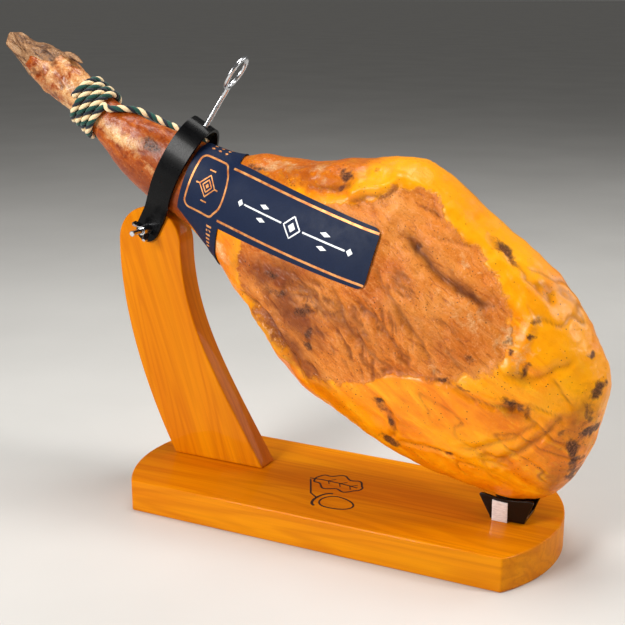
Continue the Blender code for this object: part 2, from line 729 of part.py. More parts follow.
def build_label(collection, material, skin):
    """Band columns carry rows up to the wrapped ends, tongue columns only the middle rows."""
    lift = GAP + LABEL_THICK / 2 + 0.0008
    rows, wrap_rows = 3, 8
    band_columns, tongue_columns = 6, 14
    grid = [label_column(column / band_columns, rows, wrap_rows)
            for column in range(band_columns + 1)]
    for column in range(1, tongue_columns + 1):
        share = column / tongue_columns
        distance = LABEL_BAND + (LABEL_LENGTH - LABEL_BAND) * share
        corner = max(0.0, distance - (LABEL_LENGTH - LABEL_CORNER))
        half = LABEL_HALF + (LABEL_END_HALF - LABEL_HALF) * share
        half -= LABEL_CORNER - math.sqrt(max(LABEL_CORNER ** 2 - corner ** 2, 0.0))
        grid.append([(distance, half * row / rows) for row in range(-rows, rows + 1)])
    bm = bmesh.new()
    columns = [[bm.verts.new(label_point(skin, distance, reach, lift)) for distance, reach in column]
               for column in grid]
    for here, there in zip(columns, columns[1:]):
        if len(there) < len(here):
            here = here[wrap_rows:-wrap_rows]
        for row in range(len(here) - 1):
            bm.faces.new((here[row], there[row], there[row + 1], here[row + 1]))
    label = add_object("label", mesh_from_bmesh("label", bm), collection, material)
    solid = label.modifiers.new("thickness", "SOLIDIFY")
    solid.thickness = LABEL_THICK
    solid.offset = 0
    shade_round(label, 50)
    return label


def main():
    remove_old_objects()
    parts = new_collection("cured_ham_on_stand")
    cutters = new_collection("cutters")
    wood = make_material("varnished_pine", (0.87, 0.36, 0.02), 0.25)
    black_steel = make_material("black_steel", (0.012, 0.013, 0.015), 0.3, 0.6)
    steel = make_material("bright_steel", (0.72, 0.73, 0.74), 0.25, 1.0)
    band_steel = make_material("band_steel", (0.75, 0.75, 0.74), 0.35, 1.0)
    black_pad = make_material("black_pad", (0.015, 0.012, 0.011), 0.3)
    rope_fibre = make_material("rope_fibre", (0.55, 0.50, 0.36), 0.9)
    card = make_material("navy_card", (0.008, 0.020, 0.060), 0.45)
    cured_meat = make_material("cured_meat", (0.80, 0.33, 0.03), 0.35)

    build_board(parts, wood)
    build_upright(parts, cutters, wood)
    build_collar(parts, cutters, black_steel)
    build_pivot_bolt(parts, steel)
    build_wing_nut(parts, cutters, steel)
    build_cradle(parts, black_pad)
    build_cradle_band(parts, band_steel)
    ham = build_ham(parts, cutters, cured_meat)
    bpy.context.view_layer.update()
    skin = skin_of(ham)
    build_clamp_screw(parts, cutters, steel, skin)
    build_rope(parts, rope_fibre, skin)
    build_label(parts, card, skin)


main()
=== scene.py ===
"""Looks of the cured ham on its wooden stand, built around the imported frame.

Metres, +Z up. The frame's origin is the centre of the board's underside, +X runs towards the
butt of the ham and +Y away from its front. Shapes that finer meshes replace repeat the frame's
own dimensions.
"""

import math

import bmesh
import bpy
import numpy as np
from mathutils import Matrix, Vector, noise
from mathutils.bvhtree import BVHTree


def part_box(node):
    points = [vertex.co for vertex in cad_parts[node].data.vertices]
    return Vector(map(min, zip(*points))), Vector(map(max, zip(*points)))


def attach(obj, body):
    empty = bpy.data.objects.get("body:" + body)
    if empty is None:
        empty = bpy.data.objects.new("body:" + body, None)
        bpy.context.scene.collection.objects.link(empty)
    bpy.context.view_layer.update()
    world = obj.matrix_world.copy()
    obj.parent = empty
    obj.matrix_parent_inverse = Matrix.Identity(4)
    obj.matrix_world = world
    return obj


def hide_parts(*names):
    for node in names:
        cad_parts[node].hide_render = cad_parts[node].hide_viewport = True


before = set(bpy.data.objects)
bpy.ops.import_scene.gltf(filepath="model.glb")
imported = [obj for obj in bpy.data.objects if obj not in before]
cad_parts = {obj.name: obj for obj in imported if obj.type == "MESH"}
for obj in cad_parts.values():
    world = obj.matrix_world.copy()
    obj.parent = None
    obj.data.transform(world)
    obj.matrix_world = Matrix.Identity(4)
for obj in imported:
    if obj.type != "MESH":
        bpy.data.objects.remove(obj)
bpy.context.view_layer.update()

STAND = "stand"
CLAMP = "clamp"
GAP = 0.0003
MID_Y = 0.013            # middle plane of the upright, the collar and the shank
Y_AXIS = Vector((0, 1, 0))

# Stand
BOARD_EDGE = 0.400
BOARD_END_RISE = 0.0285
EDGE_ROUND = 0.0018
UPRIGHT_THICK = 0.028
UPRIGHT_FOOT = (-0.2012, -0.0926)
UPRIGHT_HEAD = (-0.2262, 0.2670)
HEAD_RADIUS = 0.0385
PIVOT = Vector((-0.2262, MID_Y, 0.2822))
COLLAR_TILT = math.radians(29.5)
STRAP_WIDTH = 0.0268
STRAP_THICK = 0.003
COLLAR_RISE = 0.1300
BOLT_RADIUS = 0.003
SCREW_TILT = math.radians(34.0)
SCREW_RADIUS = 0.0029
SCREW_PLAY = 0.0004
SCREW_SHIFT = (0.004, -0.003)
RING_RADIUS = 0.0172
RING_WIRE = 0.0024
RING_TURN = math.radians(98)
RING_CENTRE_RISE = 0.0655
THREAD_PITCH = 0.0012
THREAD_DEPTH = 0.00035
CRADLE_BOTTOM = (0.1640, 0.1975)
CRADLE_FLARE = (-0.0135, 0.0095)
CRADLE_MID_Y = 0.0050
CRADLE_HALF_BOTTOM = 0.0155
CRADLE_HALF_TOP = 0.0160
CRADLE_RISE = 0.0241
CRADLE_DIP = 0.0042
CRADLE_THICK = 0.003
BAND_RANGE = (0.1658, 0.1812)
BAND_THICK = 0.0012

BURNT_MARK_SCALE = 1.25

# Rope
ROPE_RADIUS = 0.0037
ROPE_PITCH = 0.0081
ROPE_STAND_OFF = 0.0010
ROPE_FRONT_PASSES = 4
ROPE_LAY = 0.0200        # length of one twist of the strands

# Ham
HAM_ORIGIN = Vector((-0.190, MID_Y, 0.350))
HAM_TURN = 35             # slope of its axis in degrees
HAM_SLOPE = math.radians(HAM_TURN)
HAM_AXIS = Vector((math.cos(HAM_SLOPE), 0, -math.sin(HAM_SLOPE)))
HAM_UP = Vector((math.sin(HAM_SLOPE), 0, math.cos(HAM_SLOPE)))
HAM_DRIFT = -0.016
HAM_RINGS = 430
HAM_SIDES = 224
BOX_MARGIN = 0.0001
FRONT_CROWDING = 0.42    # draws the sides together at the front, which has the finest relief
# Each station: distance along the axis, upper edge, lower edge, half thickness, fullness
HAM_STATIONS = (
    (-0.2535, -0.0170, -0.0225, 0.0030, 2.0),   # hoof tip
    (-0.2460, -0.0105, -0.0305, 0.0105, 2.1),
    (-0.2280, -0.0080, -0.0315, 0.0165, 2.2),
    (-0.2050, 0.0013, -0.0365, 0.0195, 2.2),    # coronet
    (-0.1780, 0.0055, -0.0405, 0.0210, 2.1),    # pastern
    (-0.1500, 0.0045, -0.0385, 0.0195, 2.0),
    (-0.1220, 0.0035, -0.0375, 0.0180, 2.0),    # seat of the rope
    (-0.1000, 0.0043, -0.0405, 0.0185, 2.0),
    (-0.0750, 0.0088, -0.0467, 0.0205, 2.0),
    (-0.0450, 0.0176, -0.0526, 0.0235, 2.0),    # hock
    (-0.0100, 0.0302, -0.0533, 0.0246, 2.0),    # under the collar
    (0.0250, 0.0412, -0.0475, 0.0262, 2.0),
    (0.0500, 0.0525, -0.0465, 0.0310, 2.0),     # under the label
    (0.0680, 0.0690, -0.0475, 0.0370, 2.1),
    (0.0900, 0.0815, -0.0500, 0.0430, 2.1),
    (0.1250, 0.1053, -0.0595, 0.0530, 2.2),
    (0.1600, 0.1368, -0.0650, 0.0610, 2.2),
    (0.2000, 0.1690, -0.0830, 0.0680, 2.2),
    (0.2200, 0.1757, -0.0855, 0.0705, 2.2),
    (0.2500, 0.1758, -0.0885, 0.0720, 2.2),     # widest
    (0.3000, 0.1715, -0.0815, 0.0730, 2.2),
    (0.3500, 0.1712, -0.0745, 0.0705, 2.2),
    (0.3950, 0.1638, -0.0640, 0.0645, 2.1),
    (0.4350, 0.1460, -0.0470, 0.0550, 2.1),
    (0.4680, 0.1275, -0.0320, 0.0420, 2.0),
    (0.4885, 0.0870, -0.0145, 0.0290, 2.0),
    (0.4990, 0.0510, 0.0045, 0.0150, 2.0),
    (0.5020, 0.0320, 0.0220, 0.0030, 2.0),      # butt
)
CLEFT_START = -0.2535
CLEFT_LENGTH = 0.042
CLEFT_RISE = -0.0185
CLEFT_WIDTH = 0.0045
CLEFT_DEPTH = 0.62
DEWCLAW_ROOT = (-0.187, 0.0030)
DEWCLAW_TIP = (-0.1575, 0.0125)
DEWCLAW_RADIUS = 0.0052

# Looks of the ham's front, in millimetres. A place is (along, height): along its axis and across it.
MM = 0.001
LEAN_OUTLINE = (
    (110, 20), (122, -14), (146, -38), (185, -48), (225, -53), (251, -55), (274, -40), (298, -18),
    (316, 13), (335, 30), (360, 49), (378, 72), (385, 97), (377, 120), (352, 140), (318, 152),
    (274, 157), (240, 162), (214, 153), (202, 133), (184, 110), (150, 86), (122, 56),
)
# Each fold: its width, its depth (negative for a raised fold) and its line
FOLDS = (
    (6.5, 4.2, (248, 128), (272, 123), (300, 120), (330, 124), (352, 130)),
    (4, 2.6, (225, 60), (255, 52), (281, 48), (303, 43), (322, 40)),
    (4.5, 2.2, (205, 62), (235, 36), (262, 22), (292, 18), (315, 22)),
    (3.2, 2.2, (236, 90), (262, 79), (290, 71), (321, 61), (336, 55)),
    (2, 1.2, (255, 138), (276, 146), (284, 149), (299, 154)),
    (2.8, 2.2, (335, 33), (360, 47), (385, 52), (405, 58), (424, 72)),
    (3.5, 1.6, (392, -18), (420, 13), (436, 42), (446, 66)),
    (4, 2, (430, -16), (446, 20), (456, 55), (459, 83)),
    (2.5, -1.2, (436, -6), (452, 30), (462, 58)),
    (4, -1.8, (180, 147), (225, 163), (290, 163), (350, 158), (400, 146)),
    (1.8, 1.6, (300, 166), (345, 163), (385, 156)),
    (3, 2.6, (172, 106), (188, 119), (203, 136), (212, 150)),
    (7, -3.6, (176, 118), (196, 136), (212, 156)),
    (4, 4.2, (140, -44), (165, -40), (195, -44), (225, -54), (250, -66)),
    (4.8, -3, (158, -50), (190, -54), (222, -64)),
    (3, 1.8, (300, -30), (322, -16), (343, -22), (352, -40)),
    (2.6, 1.5, (352, -45), (385, -22), (405, -14)),
    (4, -2, (385, 90), (392, 115), (384, 135), (365, 148)),
    (5, 1.4, (395, 85), (420, 105), (432, 130)),
    (4.5, -1.2, (-98, -6), (-60, 6), (-28, 15)),
    (3.5, 1, (-98, -22), (-60, -24), (-20, -26)),
    (6, 2.2, (70, 40), (110, 70), (150, 102), (172, 120)),
    (5, -1.6, (75, 60), (115, 88), (155, 124)),
)
# Each patch of mould or browned rind: its place, its two half sizes, its turn and its strength
PATCHES = (
    (148, 24, 6, 5, 0, 0.8), (163, 4, 10, 6, 30, 0.7), (176, -8, 13, 6, 30, 0.75),
    (212, 2, 16, 7, 60, 0.8), (232, -24, 6, 6, 0, 1), (226, -12, 14, 4, 60, 0.75),
    (286, -27, 11, 4, 20, 0.6), (322, -14, 7, 3.5, 30, 1), (333, -18, 11, 4.5, 20, 0.7),
    (343, -26, 9, 4, -30, 0.85), (352, -46, 12, 5.5, 20, 1), (388, -23, 12, 3, 20, 0.7),
    (403, -14, 9, 3, 20, 0.75), (357, 49, 9, 2.5, 25, 1), (372, 55, 12, 3, 15, 0.6),
    (416, 71, 11, 4.5, 15, 0.95), (427, 70, 12, 6, 30, 0.7), (408, 102, 5, 7, 0, 0.95),
    (440, 141, 4, 3, 0, 0.95), (466, 120, 4, 10, 10, 0.95), (470, 128, 6, 3, 40, 0.9),
    (474, 96, 5, 18, 20, 0.65), (484, 86, 4, 10, 5, 1), (482, 64, 6, 12, 25, 0.95),
    (470, 70, 5, 14, 25, 0.55), (492, 52, 4, 10, 15, 1), (497, 40, 5, 14, 15, 0.85),
    (392, 128, 5, 3, 30, 0.8), (384, 138, 5, 3, 0, 0.75), (388, 107, 4, 5, 0, 0.85),
    (377, 112, 6, 12, 0, 0.45), (366, 98, 10, 12, 0, 0.25), (361, 78, 10, 5, 0, 0.6),
    (163, 124, 9, 3.5, 25, 0.95), (168, 117, 4, 3, 0, 0.9), (185, 146, 6, 2.5, 0, 0.75),
    (262, 126, 5, 4, 0, 0.8), (274, 122, 7, 4, 0, 0.7), (78, 64, 13, 3, 20, 0.7),
    (322, 166, 22, 3, -3, 0.8), (60, -34, 7, 5, 0, 0.9), (-30, 2, 13, 6, 20, 0.85),
)
# Each broad darker place, partly darker rind and partly painted shade below the collar and at the butt end:
# as above
DARK_TONES_AND_SHADE = (
    (165, 6, 44, 17, 35, 1), (205, -12, 42, 20, 0, 1), (250, 24, 40, 14, 10, 0.55),
    (24, -28, 18, 12, 0, 1), (300, 68, 40, 12, 10, 0.35), (262, 128, 28, 6, 0, 0.55),
    (325, 124, 28, 4, -10, 0.75), (345, 70, 30, 8, 0, 0.35), (215, -46, 56, 13, -6, 0.9),
    (128, -12, 14, 16, 0, 0.55), (422, 66, 16, 9, 25, 0.65), (470, 85, 16, 32, 15, 0.55),
    (490, 30, 10, 20, 0, 0.5), (408, 95, 12, 12, 0, 0.45), (120, 92, 40, 8, 35, 0.4),
    (-28, 2, 26, 16, 15, 0.65), (-20, -35, 60, 12, 5, 0.55), (25, -20, 30, 30, 0, 0.45),
    (-85, 0, 10, 20, 0, 0.45), (-175, -30, 30, 12, 0, 0.45), (300, -60, 60, 12, 0, 0.25),
)
# Each painted highlight: a brighter, yellower stretch of fat that stands in for the light falling on it, as
# above
PAINTED_HIGHLIGHTS = (
    (235, 170, 60, 16, 0, 1), (320, 166, 60, 18, -3, 1), (405, 148, 45, 24, -35, 1),
    (452, 122, 26, 30, -40, 0.85), (192, 140, 34, 10, 38, 0.9), (120, -8, 10, 22, 0, 0.8),
    (420, 20, 50, 14, 40, 0.55), (330, -40, 60, 12, 5, 0.5), (440, 95, 12, 30, 0, 0.8),
)
# Each pale, salt-dusted place: as above
PALES = (
    (-70, -14, 36, 10, 12, 0.95), (-20, -16, 20, 6, 0, 0.6), (98, 82, 34, 10, 38, 0.62),
    (140, 106, 16, 8, 30, 0.6), (98, -26, 16, 9, 0, 0.75), (185, -55, 55, 6, -12, 0.45),
    (335, 110, 40, 18, 0, 0.52), (300, 140, 35, 10, 0, 0.45), (378, 120, 14, 26, -10, 0.62),
    (398, 110, 12, 20, 0, 0.5), (190, 20, 14, 10, 0, 0.45), (350, 52, 20, 6, 10, 0.55),
    (-130, -10, 12, 30, 0, 0.5),
)
# Each pit: its place, its half size and its depth
PITS = (
    (148, 24, 4, 1.6), (232, -24, 4, 1.6), (262, 126, 4, 1.4), (422, 72, 9, 3), (408, 102, 5, 1.8),
    (368, 90, 12, 1.6), (352, -44, 6, 1.4), (322, -14, 5, 1.2), (486, 78, 10, 1.6),
)

# Label
LABEL_START = Vector((-0.1711, 0, 0.3433))
LABEL_SLOPE = math.radians(13.7)
LABEL_LENGTH = 0.235
LABEL_HALF = 0.034
LABEL_END_HALF = 0.0285
LABEL_BAND = 0.056
LABEL_SLANT = 0.12
LABEL_WRAP = 0.070
LABEL_LOWER_TIP = (0.041, 0.053)
LABEL_UPPER_TIP = (0.008, 0.047)
LABEL_THICK = 0.0007
LABEL_CORNER = 0.008
LABEL_LIFT = GAP + LABEL_THICK / 2 + 0.0008
PRINT_LIFT = LABEL_LIFT + LABEL_THICK / 2 + 0.0001
PRINT_THICK = 0.00012
STROKE_STEP = 0.002      # longest piece of a printed line, so that it follows the curved label

# Camera: the viewpoint stands right of the front, a little above the ham
CAMERA_PLACE = (0.485, -1.035, 0.526)
CAMERA_TURN = math.radians(26.59)
CAMERA_DIP = math.radians(15.11)
CAMERA_LENS = 68.87


# ---------------------------------------------------------------- small helpers

def linear(tone):
    """A display colour, 0 to 255, as the linear RGBA that shaders take."""
    values = [channel / 255 for channel in tone]
    return [v / 12.92 if v <= 0.04045 else ((v + 0.055) / 1.055) ** 2.4 for v in values] + [1.0]


def smooth(values, low, high):
    share = np.clip((values - low) / (high - low), 0.0, 1.0)
    return share * share * (3 - 2 * share)


def window(values, low, full, full_end, end):
    """0 up to low, 1 from full to full_end and 0 again from end on."""
    return smooth(values, low, full) * smooth(values, end, full_end)


def arc(centre, radii, start, end, count):
    """Points round an oval arc; a negative radius mirrors it."""
    return [(centre[0] + radii[0] * math.cos(angle), centre[1] + radii[1] * math.sin(angle))
            for angle in np.linspace(start, end, count)]


def link_object(name, mesh, material=None):
    obj = bpy.data.objects.new(name, mesh)
    bpy.context.scene.collection.objects.link(obj)
    if material:
        mesh.materials.append(material)
    return obj


def mesh_of(name, bm, recalculate=True):
    if recalculate:
        bmesh.ops.recalc_face_normals(bm, faces=bm.faces)
    mesh = bpy.data.meshes.new(name)
    bm.to_mesh(mesh)
    bm.free()
    return mesh


def grid_mesh(name, points, closed=False, capped=False):
    """A mesh over rows of points; closed joins each row's ends, capped fills the first and last row."""
    points = np.asarray(points)
    rows, columns = points.shape[:2]
    index = np.arange(rows * columns).reshape(rows, columns)
    here, there = index[:-1], index[1:]
    if closed:
        after_here, after_there = np.roll(here, -1, axis=1), np.roll(there, -1, axis=1)
    else:
        after_here, after_there = here[:, 1:], there[:, 1:]
        here, there = here[:, :-1], there[:, :-1]
    faces = np.stack((here, after_here, after_there, there), axis=-1).reshape(-1, 4).tolist()
    if capped:
        faces += [index[0, ::-1].tolist(), index[-1].tolist()]
    mesh = bpy.data.meshes.new(name)
    mesh.from_pydata(points.reshape(-1, 3).tolist(), [], faces)
    return mesh


def grid_object(name, points, material, **joins):
    return link_object(name, grid_mesh(name, points, **joins), material)


def smooth_rows(rows, per_span):
    """Catmull-Rom curve through rows of numbers, per_span samples for each span."""
    rows = np.array(rows, dtype=float)
    padded = np.vstack((2 * rows[0] - rows[1], rows, 2 * rows[-1] - rows[-2]))
    samples = []
    for span in range(len(rows) - 1):
        before, left, right, after = padded[span:span + 4]
        for step in range(per_span):
            t = step / per_span
            samples.append(0.5 * (2 * left + (right - before) * t
                                  + (2 * before - 5 * left + 4 * right - after) * t * t
                                  + (3 * left - before - 3 * right + after) * t ** 3))
    samples.append(rows[-1])
    return np.array(samples)


def travelled_length(points):
    steps = np.linalg.norm(np.diff(points, axis=0), axis=1)
    return np.concatenate(([0.0], np.cumsum(steps)))


def resample(rows, count):
    """Rows at equal steps of the length travelled in the first three columns."""
    travelled = travelled_length(rows[:, :3])
    wanted = np.linspace(0.0, travelled[-1], count)
    return np.array([np.interp(wanted, travelled, rows[:, column])
                     for column in range(rows.shape[1])]).T


def bezier_points(start, start_handle, end_handle, end, count):
    """Points along one cubic segment, without its end point."""
    points = []
    for step in range(count):
        t = step / count
        weights = ((1 - t) ** 3, 3 * t * (1 - t) ** 2, 3 * t * t * (1 - t), t ** 3)
        corners = (start, start_handle, end_handle, end)
        points.append(tuple(sum(w * c[axis] for w, c in zip(weights, corners)) for axis in (0, 1)))
    return points


def add_bevel(obj, width, segments=3, angle=40):
    bevel = obj.modifiers.new("round_edges", "BEVEL")
    bevel.width = width
    bevel.segments = segments
    bevel.limit_method = "ANGLE"
    bevel.angle_limit = math.radians(angle)


def add_solidify(obj, thickness, even=True):
    solid = obj.modifiers.new("thickness", "SOLIDIFY")
    solid.thickness = thickness
    solid.offset = 0.0
    solid.use_even_offset = even


def settle(obj, angle):
    """Apply all modifiers and shade smooth up to an angle."""
    graph = bpy.context.evaluated_depsgraph_get()
    mesh = bpy.data.meshes.new_from_object(obj.evaluated_get(graph))
    obj.modifiers.clear()
    old = obj.data
    obj.data = mesh
    bpy.data.meshes.remove(old)
    mesh.shade_smooth()
    mesh.set_sharp_from_angle(angle=math.radians(angle))
    return obj


def place_piece(obj, body, slot, *nodes):
    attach(obj, body)
    if nodes:
        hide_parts(*nodes)


def cut_hole(obj, radius, centre, axis, depth=0.1):
    bm = bmesh.new()
    bmesh.ops.create_cone(bm, cap_ends=True, segments=32, radius1=radius, radius2=radius, depth=depth)
    bm.transform(Matrix.Translation(centre) @ axis.to_track_quat("Z", "Y").to_matrix().to_4x4())
    cutter = link_object("cutter", mesh_of("cutter", bm, recalculate=False))
    modifier = obj.modifiers.new("hole", "BOOLEAN")
    modifier.operation = "DIFFERENCE"
    modifier.object = cutter
    graph = bpy.context.evaluated_depsgraph_get()
    mesh = bpy.data.meshes.new_from_object(obj.evaluated_get(graph))
    obj.modifiers.clear()
    obj.data = mesh
    bpy.data.objects.remove(cutter, do_unlink=True)


# ---------------------------------------------------------------- materials

class Shader:
    """A Principled material with short calls for the nodes that feed it."""

    def __init__(self, name, **inputs):
        self.material = bpy.data.materials.new(name)
        self.material.use_nodes = True
        self.tree = self.material.node_tree
        self.principled = self.tree.nodes["Principled BSDF"]
        self.place = self.tree.nodes.new("ShaderNodeTexCoord").outputs["Object"]
        for key, value in inputs.items():
            self.set(key.replace("_", " "), value)

    def feed(self, socket, value):
        if isinstance(value, bpy.types.NodeSocket):
            self.tree.links.new(value, socket)
        elif isinstance(value, tuple) and socket.type == "RGBA":
            socket.default_value = linear(value)
        else:
            socket.default_value = value

    def set(self, name, value):
        self.feed(self.principled.inputs[name], value)

    def node(self, kind, output, inputs, **settings):
        """One output of a new node, whose inputs are given by name or number."""
        node = self.tree.nodes.new("ShaderNode" + kind)
        for key, value in settings.items():
            setattr(node, key, value)
        for key, value in inputs.items():
            self.feed(node.inputs[key], value)
        return node.outputs[output]

    def stretched(self, scale, turn=0):
        """Object space turned back about Y, then scaled: a low scale draws a pattern out along that axis."""
        return self.node("Mapping", "Vector", {
            "Vector": self.place, "Scale": [1 / factor for factor in scale],
            "Rotation": [0, math.radians(turn), 0]}, vector_type="TEXTURE")

    def noise(self, scale, detail=4.0, roughness=0.5, distortion=0.0, place=None):
        return self.node("TexNoise", "Fac", {
            "Vector": place or self.place, "Scale": scale, "Detail": detail,
            "Roughness": roughness, "Distortion": distortion})

    def cells(self, scale):
        return self.node("TexVoronoi", "Distance", {"Vector": self.place, "Scale": scale})

    def field(self, name):
        return self.node("Attribute", "Fac", {}, attribute_name=name)

    def ramp(self, value, *stops):
        """Value as a colour or a number between stops, each a position with its colour or number."""
        node = self.tree.nodes.new("ShaderNodeValToRGB")
        self.feed(node.inputs["Fac"], value)
        band = node.color_ramp
        while len(band.elements) < len(stops):
            band.elements.new(0.5)
        for element, (position, level) in zip(band.elements, stops):
            element.position = position
            element.color = linear(level) if isinstance(level, tuple) else (level, level, level, 1.0)
        return node.outputs["Color"]

    def mix(self, share, first, second):
        return self.node("Mix", 2, {0: share, 6: first, 7: second}, data_type="RGBA")

    def stain(self, base, pattern, low, high, tone):
        """Tone over base where the pattern is high; low and high are (pattern, share)."""
        return self.mix(self.ramp(pattern, low, high), base, tone)

    def math(self, operation, first, second=0.0):
        return self.node("Math", 0, {0: first, 1: second}, operation=operation)

    def times(self, first, second):
        return self.math("MULTIPLY", first, second)

    def plus(self, first, second):
        return self.math("ADD", first, second)

    def bump(self, height, distance, strength, normal=None):
        inputs = {"Distance": distance, "Strength": strength, "Height": height}
        if normal:
            inputs["Normal"] = normal
        return self.node("Bump", "Normal", inputs)

    def finish(self, colour, **inputs):
        """Set what the last nodes feed and return the material."""
        self.set("Base Color", colour)
        for key, value in inputs.items():
            self.set(key.replace("_", " "), value)
        return self.material


def varnished_wood(name, turn):
    """Amber varnish on straight-grained wood; turn leans the grain about Y."""
    wood = Shader(name, Roughness=0.5, Specular_IOR_Level=0.05, Coat_Weight=0.12, Coat_Roughness=0.06)
    along = wood.stretched((1.3, 20.0, 20.0), turn)
    fine = wood.stretched((8.0, 330.0, 330.0), turn)
    rings = wood.noise(1.2, detail=2.0, roughness=0.4, distortion=0.5, place=along)
    waves = wood.plus(wood.times(wood.math("SINE", wood.times(rings, 58.0)), 0.5), 0.5)
    bands = wood.ramp(waves, (0.45, 0.0), (0.98, 1.0))
    fibres = wood.noise(1.0, detail=3.0, roughness=0.6, place=fine)
    base = wood.ramp(wood.noise(2.0, detail=2.0, place=along), (0.30, (210, 116, 0)),
                     (0.52, (220, 131, 0)), (0.75, (229, 144, 0)))
    base = wood.mix(wood.times(bands, 0.30), base, (184, 88, 0))
    base = wood.stain(base, fibres, (0.44, 0.0), (0.75, 0.28), (176, 82, 0))
    return wood.finish(base, Normal=wood.bump(wood.plus(fibres, bands), 0.00005, 0.4))


def black_coating():
    coat = Shader("black_coated_steel", Specular_IOR_Level=0.10, Coat_Weight=0.05, Coat_Roughness=0.12)
    grain = coat.noise(900, detail=3)
    brushed = coat.noise(60, detail=3, place=coat.stretched((1, 12, 1)))
    return coat.finish(coat.ramp(brushed, (0.3, (4, 4, 5)), (0.8, (11, 11, 13))),
                       Roughness=coat.ramp(grain, (0.3, 0.24), (0.7, 0.36)),
                       Normal=coat.bump(grain, 0.00005, 0.6))


def bright_metal(name, tone, rough, metallic=1.0):
    metal = Shader(name, Metallic=metallic)
    scratches = metal.noise(240, detail=4, place=metal.stretched((1, 1, 6)))
    return metal.finish(metal.ramp(scratches, (0.25, tuple(t - 40 for t in tone)), (0.7, tone)),
                        Roughness=metal.ramp(scratches, (0.3, rough), (0.8, rough + 0.16)),
                        Normal=metal.bump(scratches, 0.00004, 0.4))


def black_pad():
    pad = Shader("black_pad", Roughness=0.22, Specular_IOR_Level=0.22, Coat_Weight=0.15, Coat_Roughness=0.1)
    return pad.finish(pad.ramp(pad.noise(40), (0.3, (8, 5, 4)), (0.8, (16, 10, 8))),
                      Normal=pad.bump(pad.noise(500, detail=3), 0.00005, 0.5))


def strand_fibre(name, tone, dark):
    """Spun yarn: fine filaments run along each strand."""
    yarn = Shader(name, Roughness=0.85, Sheen_Weight=0.25, Sheen_Roughness=0.5)
    filaments = yarn.noise(2600, detail=2, roughness=0.7)
    colour = yarn.stain(dark, filaments, (0.28, 0.0), (0.55, 1.0), tone)
    colour = yarn.stain(colour, yarn.noise(160, detail=3), (0.45, 0.0), (0.85, 0.25), dark)
    return yarn.finish(colour, Normal=yarn.bump(filaments, 0.00025, 0.8))


def navy_card():
    card = Shader("navy_card", Specular_IOR_Level=0.2)
    paper = card.noise(900, detail=3)
    colour = card.ramp(paper, (0.3, (9, 24, 52)), (0.7, (14, 31, 62)))
    colour = card.stain(colour, card.noise(70, detail=4), (0.55, 0.0), (0.8, 0.35), (22, 38, 68))
    return card.finish(colour, Roughness=card.ramp(card.noise(120), (0.3, 0.48), (0.7, 0.62)),
                       Normal=card.bump(paper, 0.00004, 0.5))


def foil(name, low, high, rough):
    """Printed metallic ink."""
    ink = Shader(name, Metallic=0.45)
    return ink.finish(ink.ramp(ink.noise(150, detail=3), (0.3, low), (0.7, high)),
                      Roughness=ink.ramp(ink.noise(600), (0.3, rough), (0.7, rough + 0.15)))


def scorched_line():
    burnt = Shader("scorched_line", Roughness=0.7)
    return burnt.finish(burnt.ramp(burnt.noise(300, detail=3), (0.35, (34, 16, 8)), (0.7, (70, 32, 8))),
                        Normal=burnt.bump(burnt.noise(900), 0.0001, 0.6))


def horn():
    claw = Shader("claw_horn", Roughness=0.55, Specular_IOR_Level=0.3)
    layers = claw.noise(48, 5, 0.64, 0.8, claw.stretched((0.8, 1.4, 3.6), HAM_TURN))
    fine = claw.noise(560, detail=3, roughness=0.6)
    return claw.finish(claw_colour(claw, layers, fine),
                       Normal=claw.bump(claw.plus(layers, fine), 0.0012, 0.7))


def fat_colour(meat, broad, fine, streaks):
    """Waxy amber fat: darker orange and paler streaks along the leg, and pale grains painted as fine glints.
    """
    fat = meat.ramp(broad, (0.32, (222, 106, 0)), (0.43, (238, 130, 0)), (0.55, (249, 150, 0)),
                    (0.70, (255, 166, 0)))
    fat = meat.stain(fat, streaks, (0.50, 0.0), (0.70, 0.55), (206, 92, 0))
    fat = meat.stain(fat, streaks, (0.32, 0.50), (0.44, 0.0), (255, 184, 26))
    # painted highlight: fine pale grains stand in for glints on the fat
    return meat.stain(fat, fine, (0.60, 0.0), (0.76, 0.28), (255, 206, 96))


def lean_colour(meat, broad, fine, fibre):
    """Dried lean: orange brown with light and dark fibres."""
    lean = meat.ramp(broad, (0.30, (180, 84, 10)), (0.44, (206, 108, 24)), (0.57, (218, 126, 38)),
                     (0.74, (230, 148, 64)))
    lean = meat.stain(lean, fibre, (0.50, 0.0), (0.70, 0.50), (236, 156, 84))
    lean = meat.stain(lean, fibre, (0.28, 0.65), (0.46, 0.0), (142, 56, 4))
    lean = meat.stain(lean, fine, (0.58, 0.0), (0.74, 0.45), (244, 186, 124))
    return meat.stain(lean, fine, (0.28, 0.50), (0.42, 0.0), (120, 46, 6))


def skin_colour(meat, mottle, fine):
    """Brown shank skin, mottled with cream where the fat shows through."""
    skin = meat.ramp(mottle, (0.32, (104, 38, 2)), (0.45, (146, 60, 6)), (0.56, (176, 84, 14)),
                     (0.67, (208, 124, 48)), (0.80, (238, 184, 120)))
    return meat.stain(skin, fine, (0.58, 0.0), (0.76, 0.35), (244, 196, 140))


def claw_colour(meat, layers, fine):
    """Layered horn with dark cracks."""
    claw = meat.ramp(layers, (0.30, (40, 22, 12)), (0.42, (98, 66, 44)), (0.54, (158, 116, 80)),
                     (0.74, (214, 176, 136)))
    return meat.stain(claw, fine, (0.30, 0.6), (0.46, 0.0), (38, 22, 14))


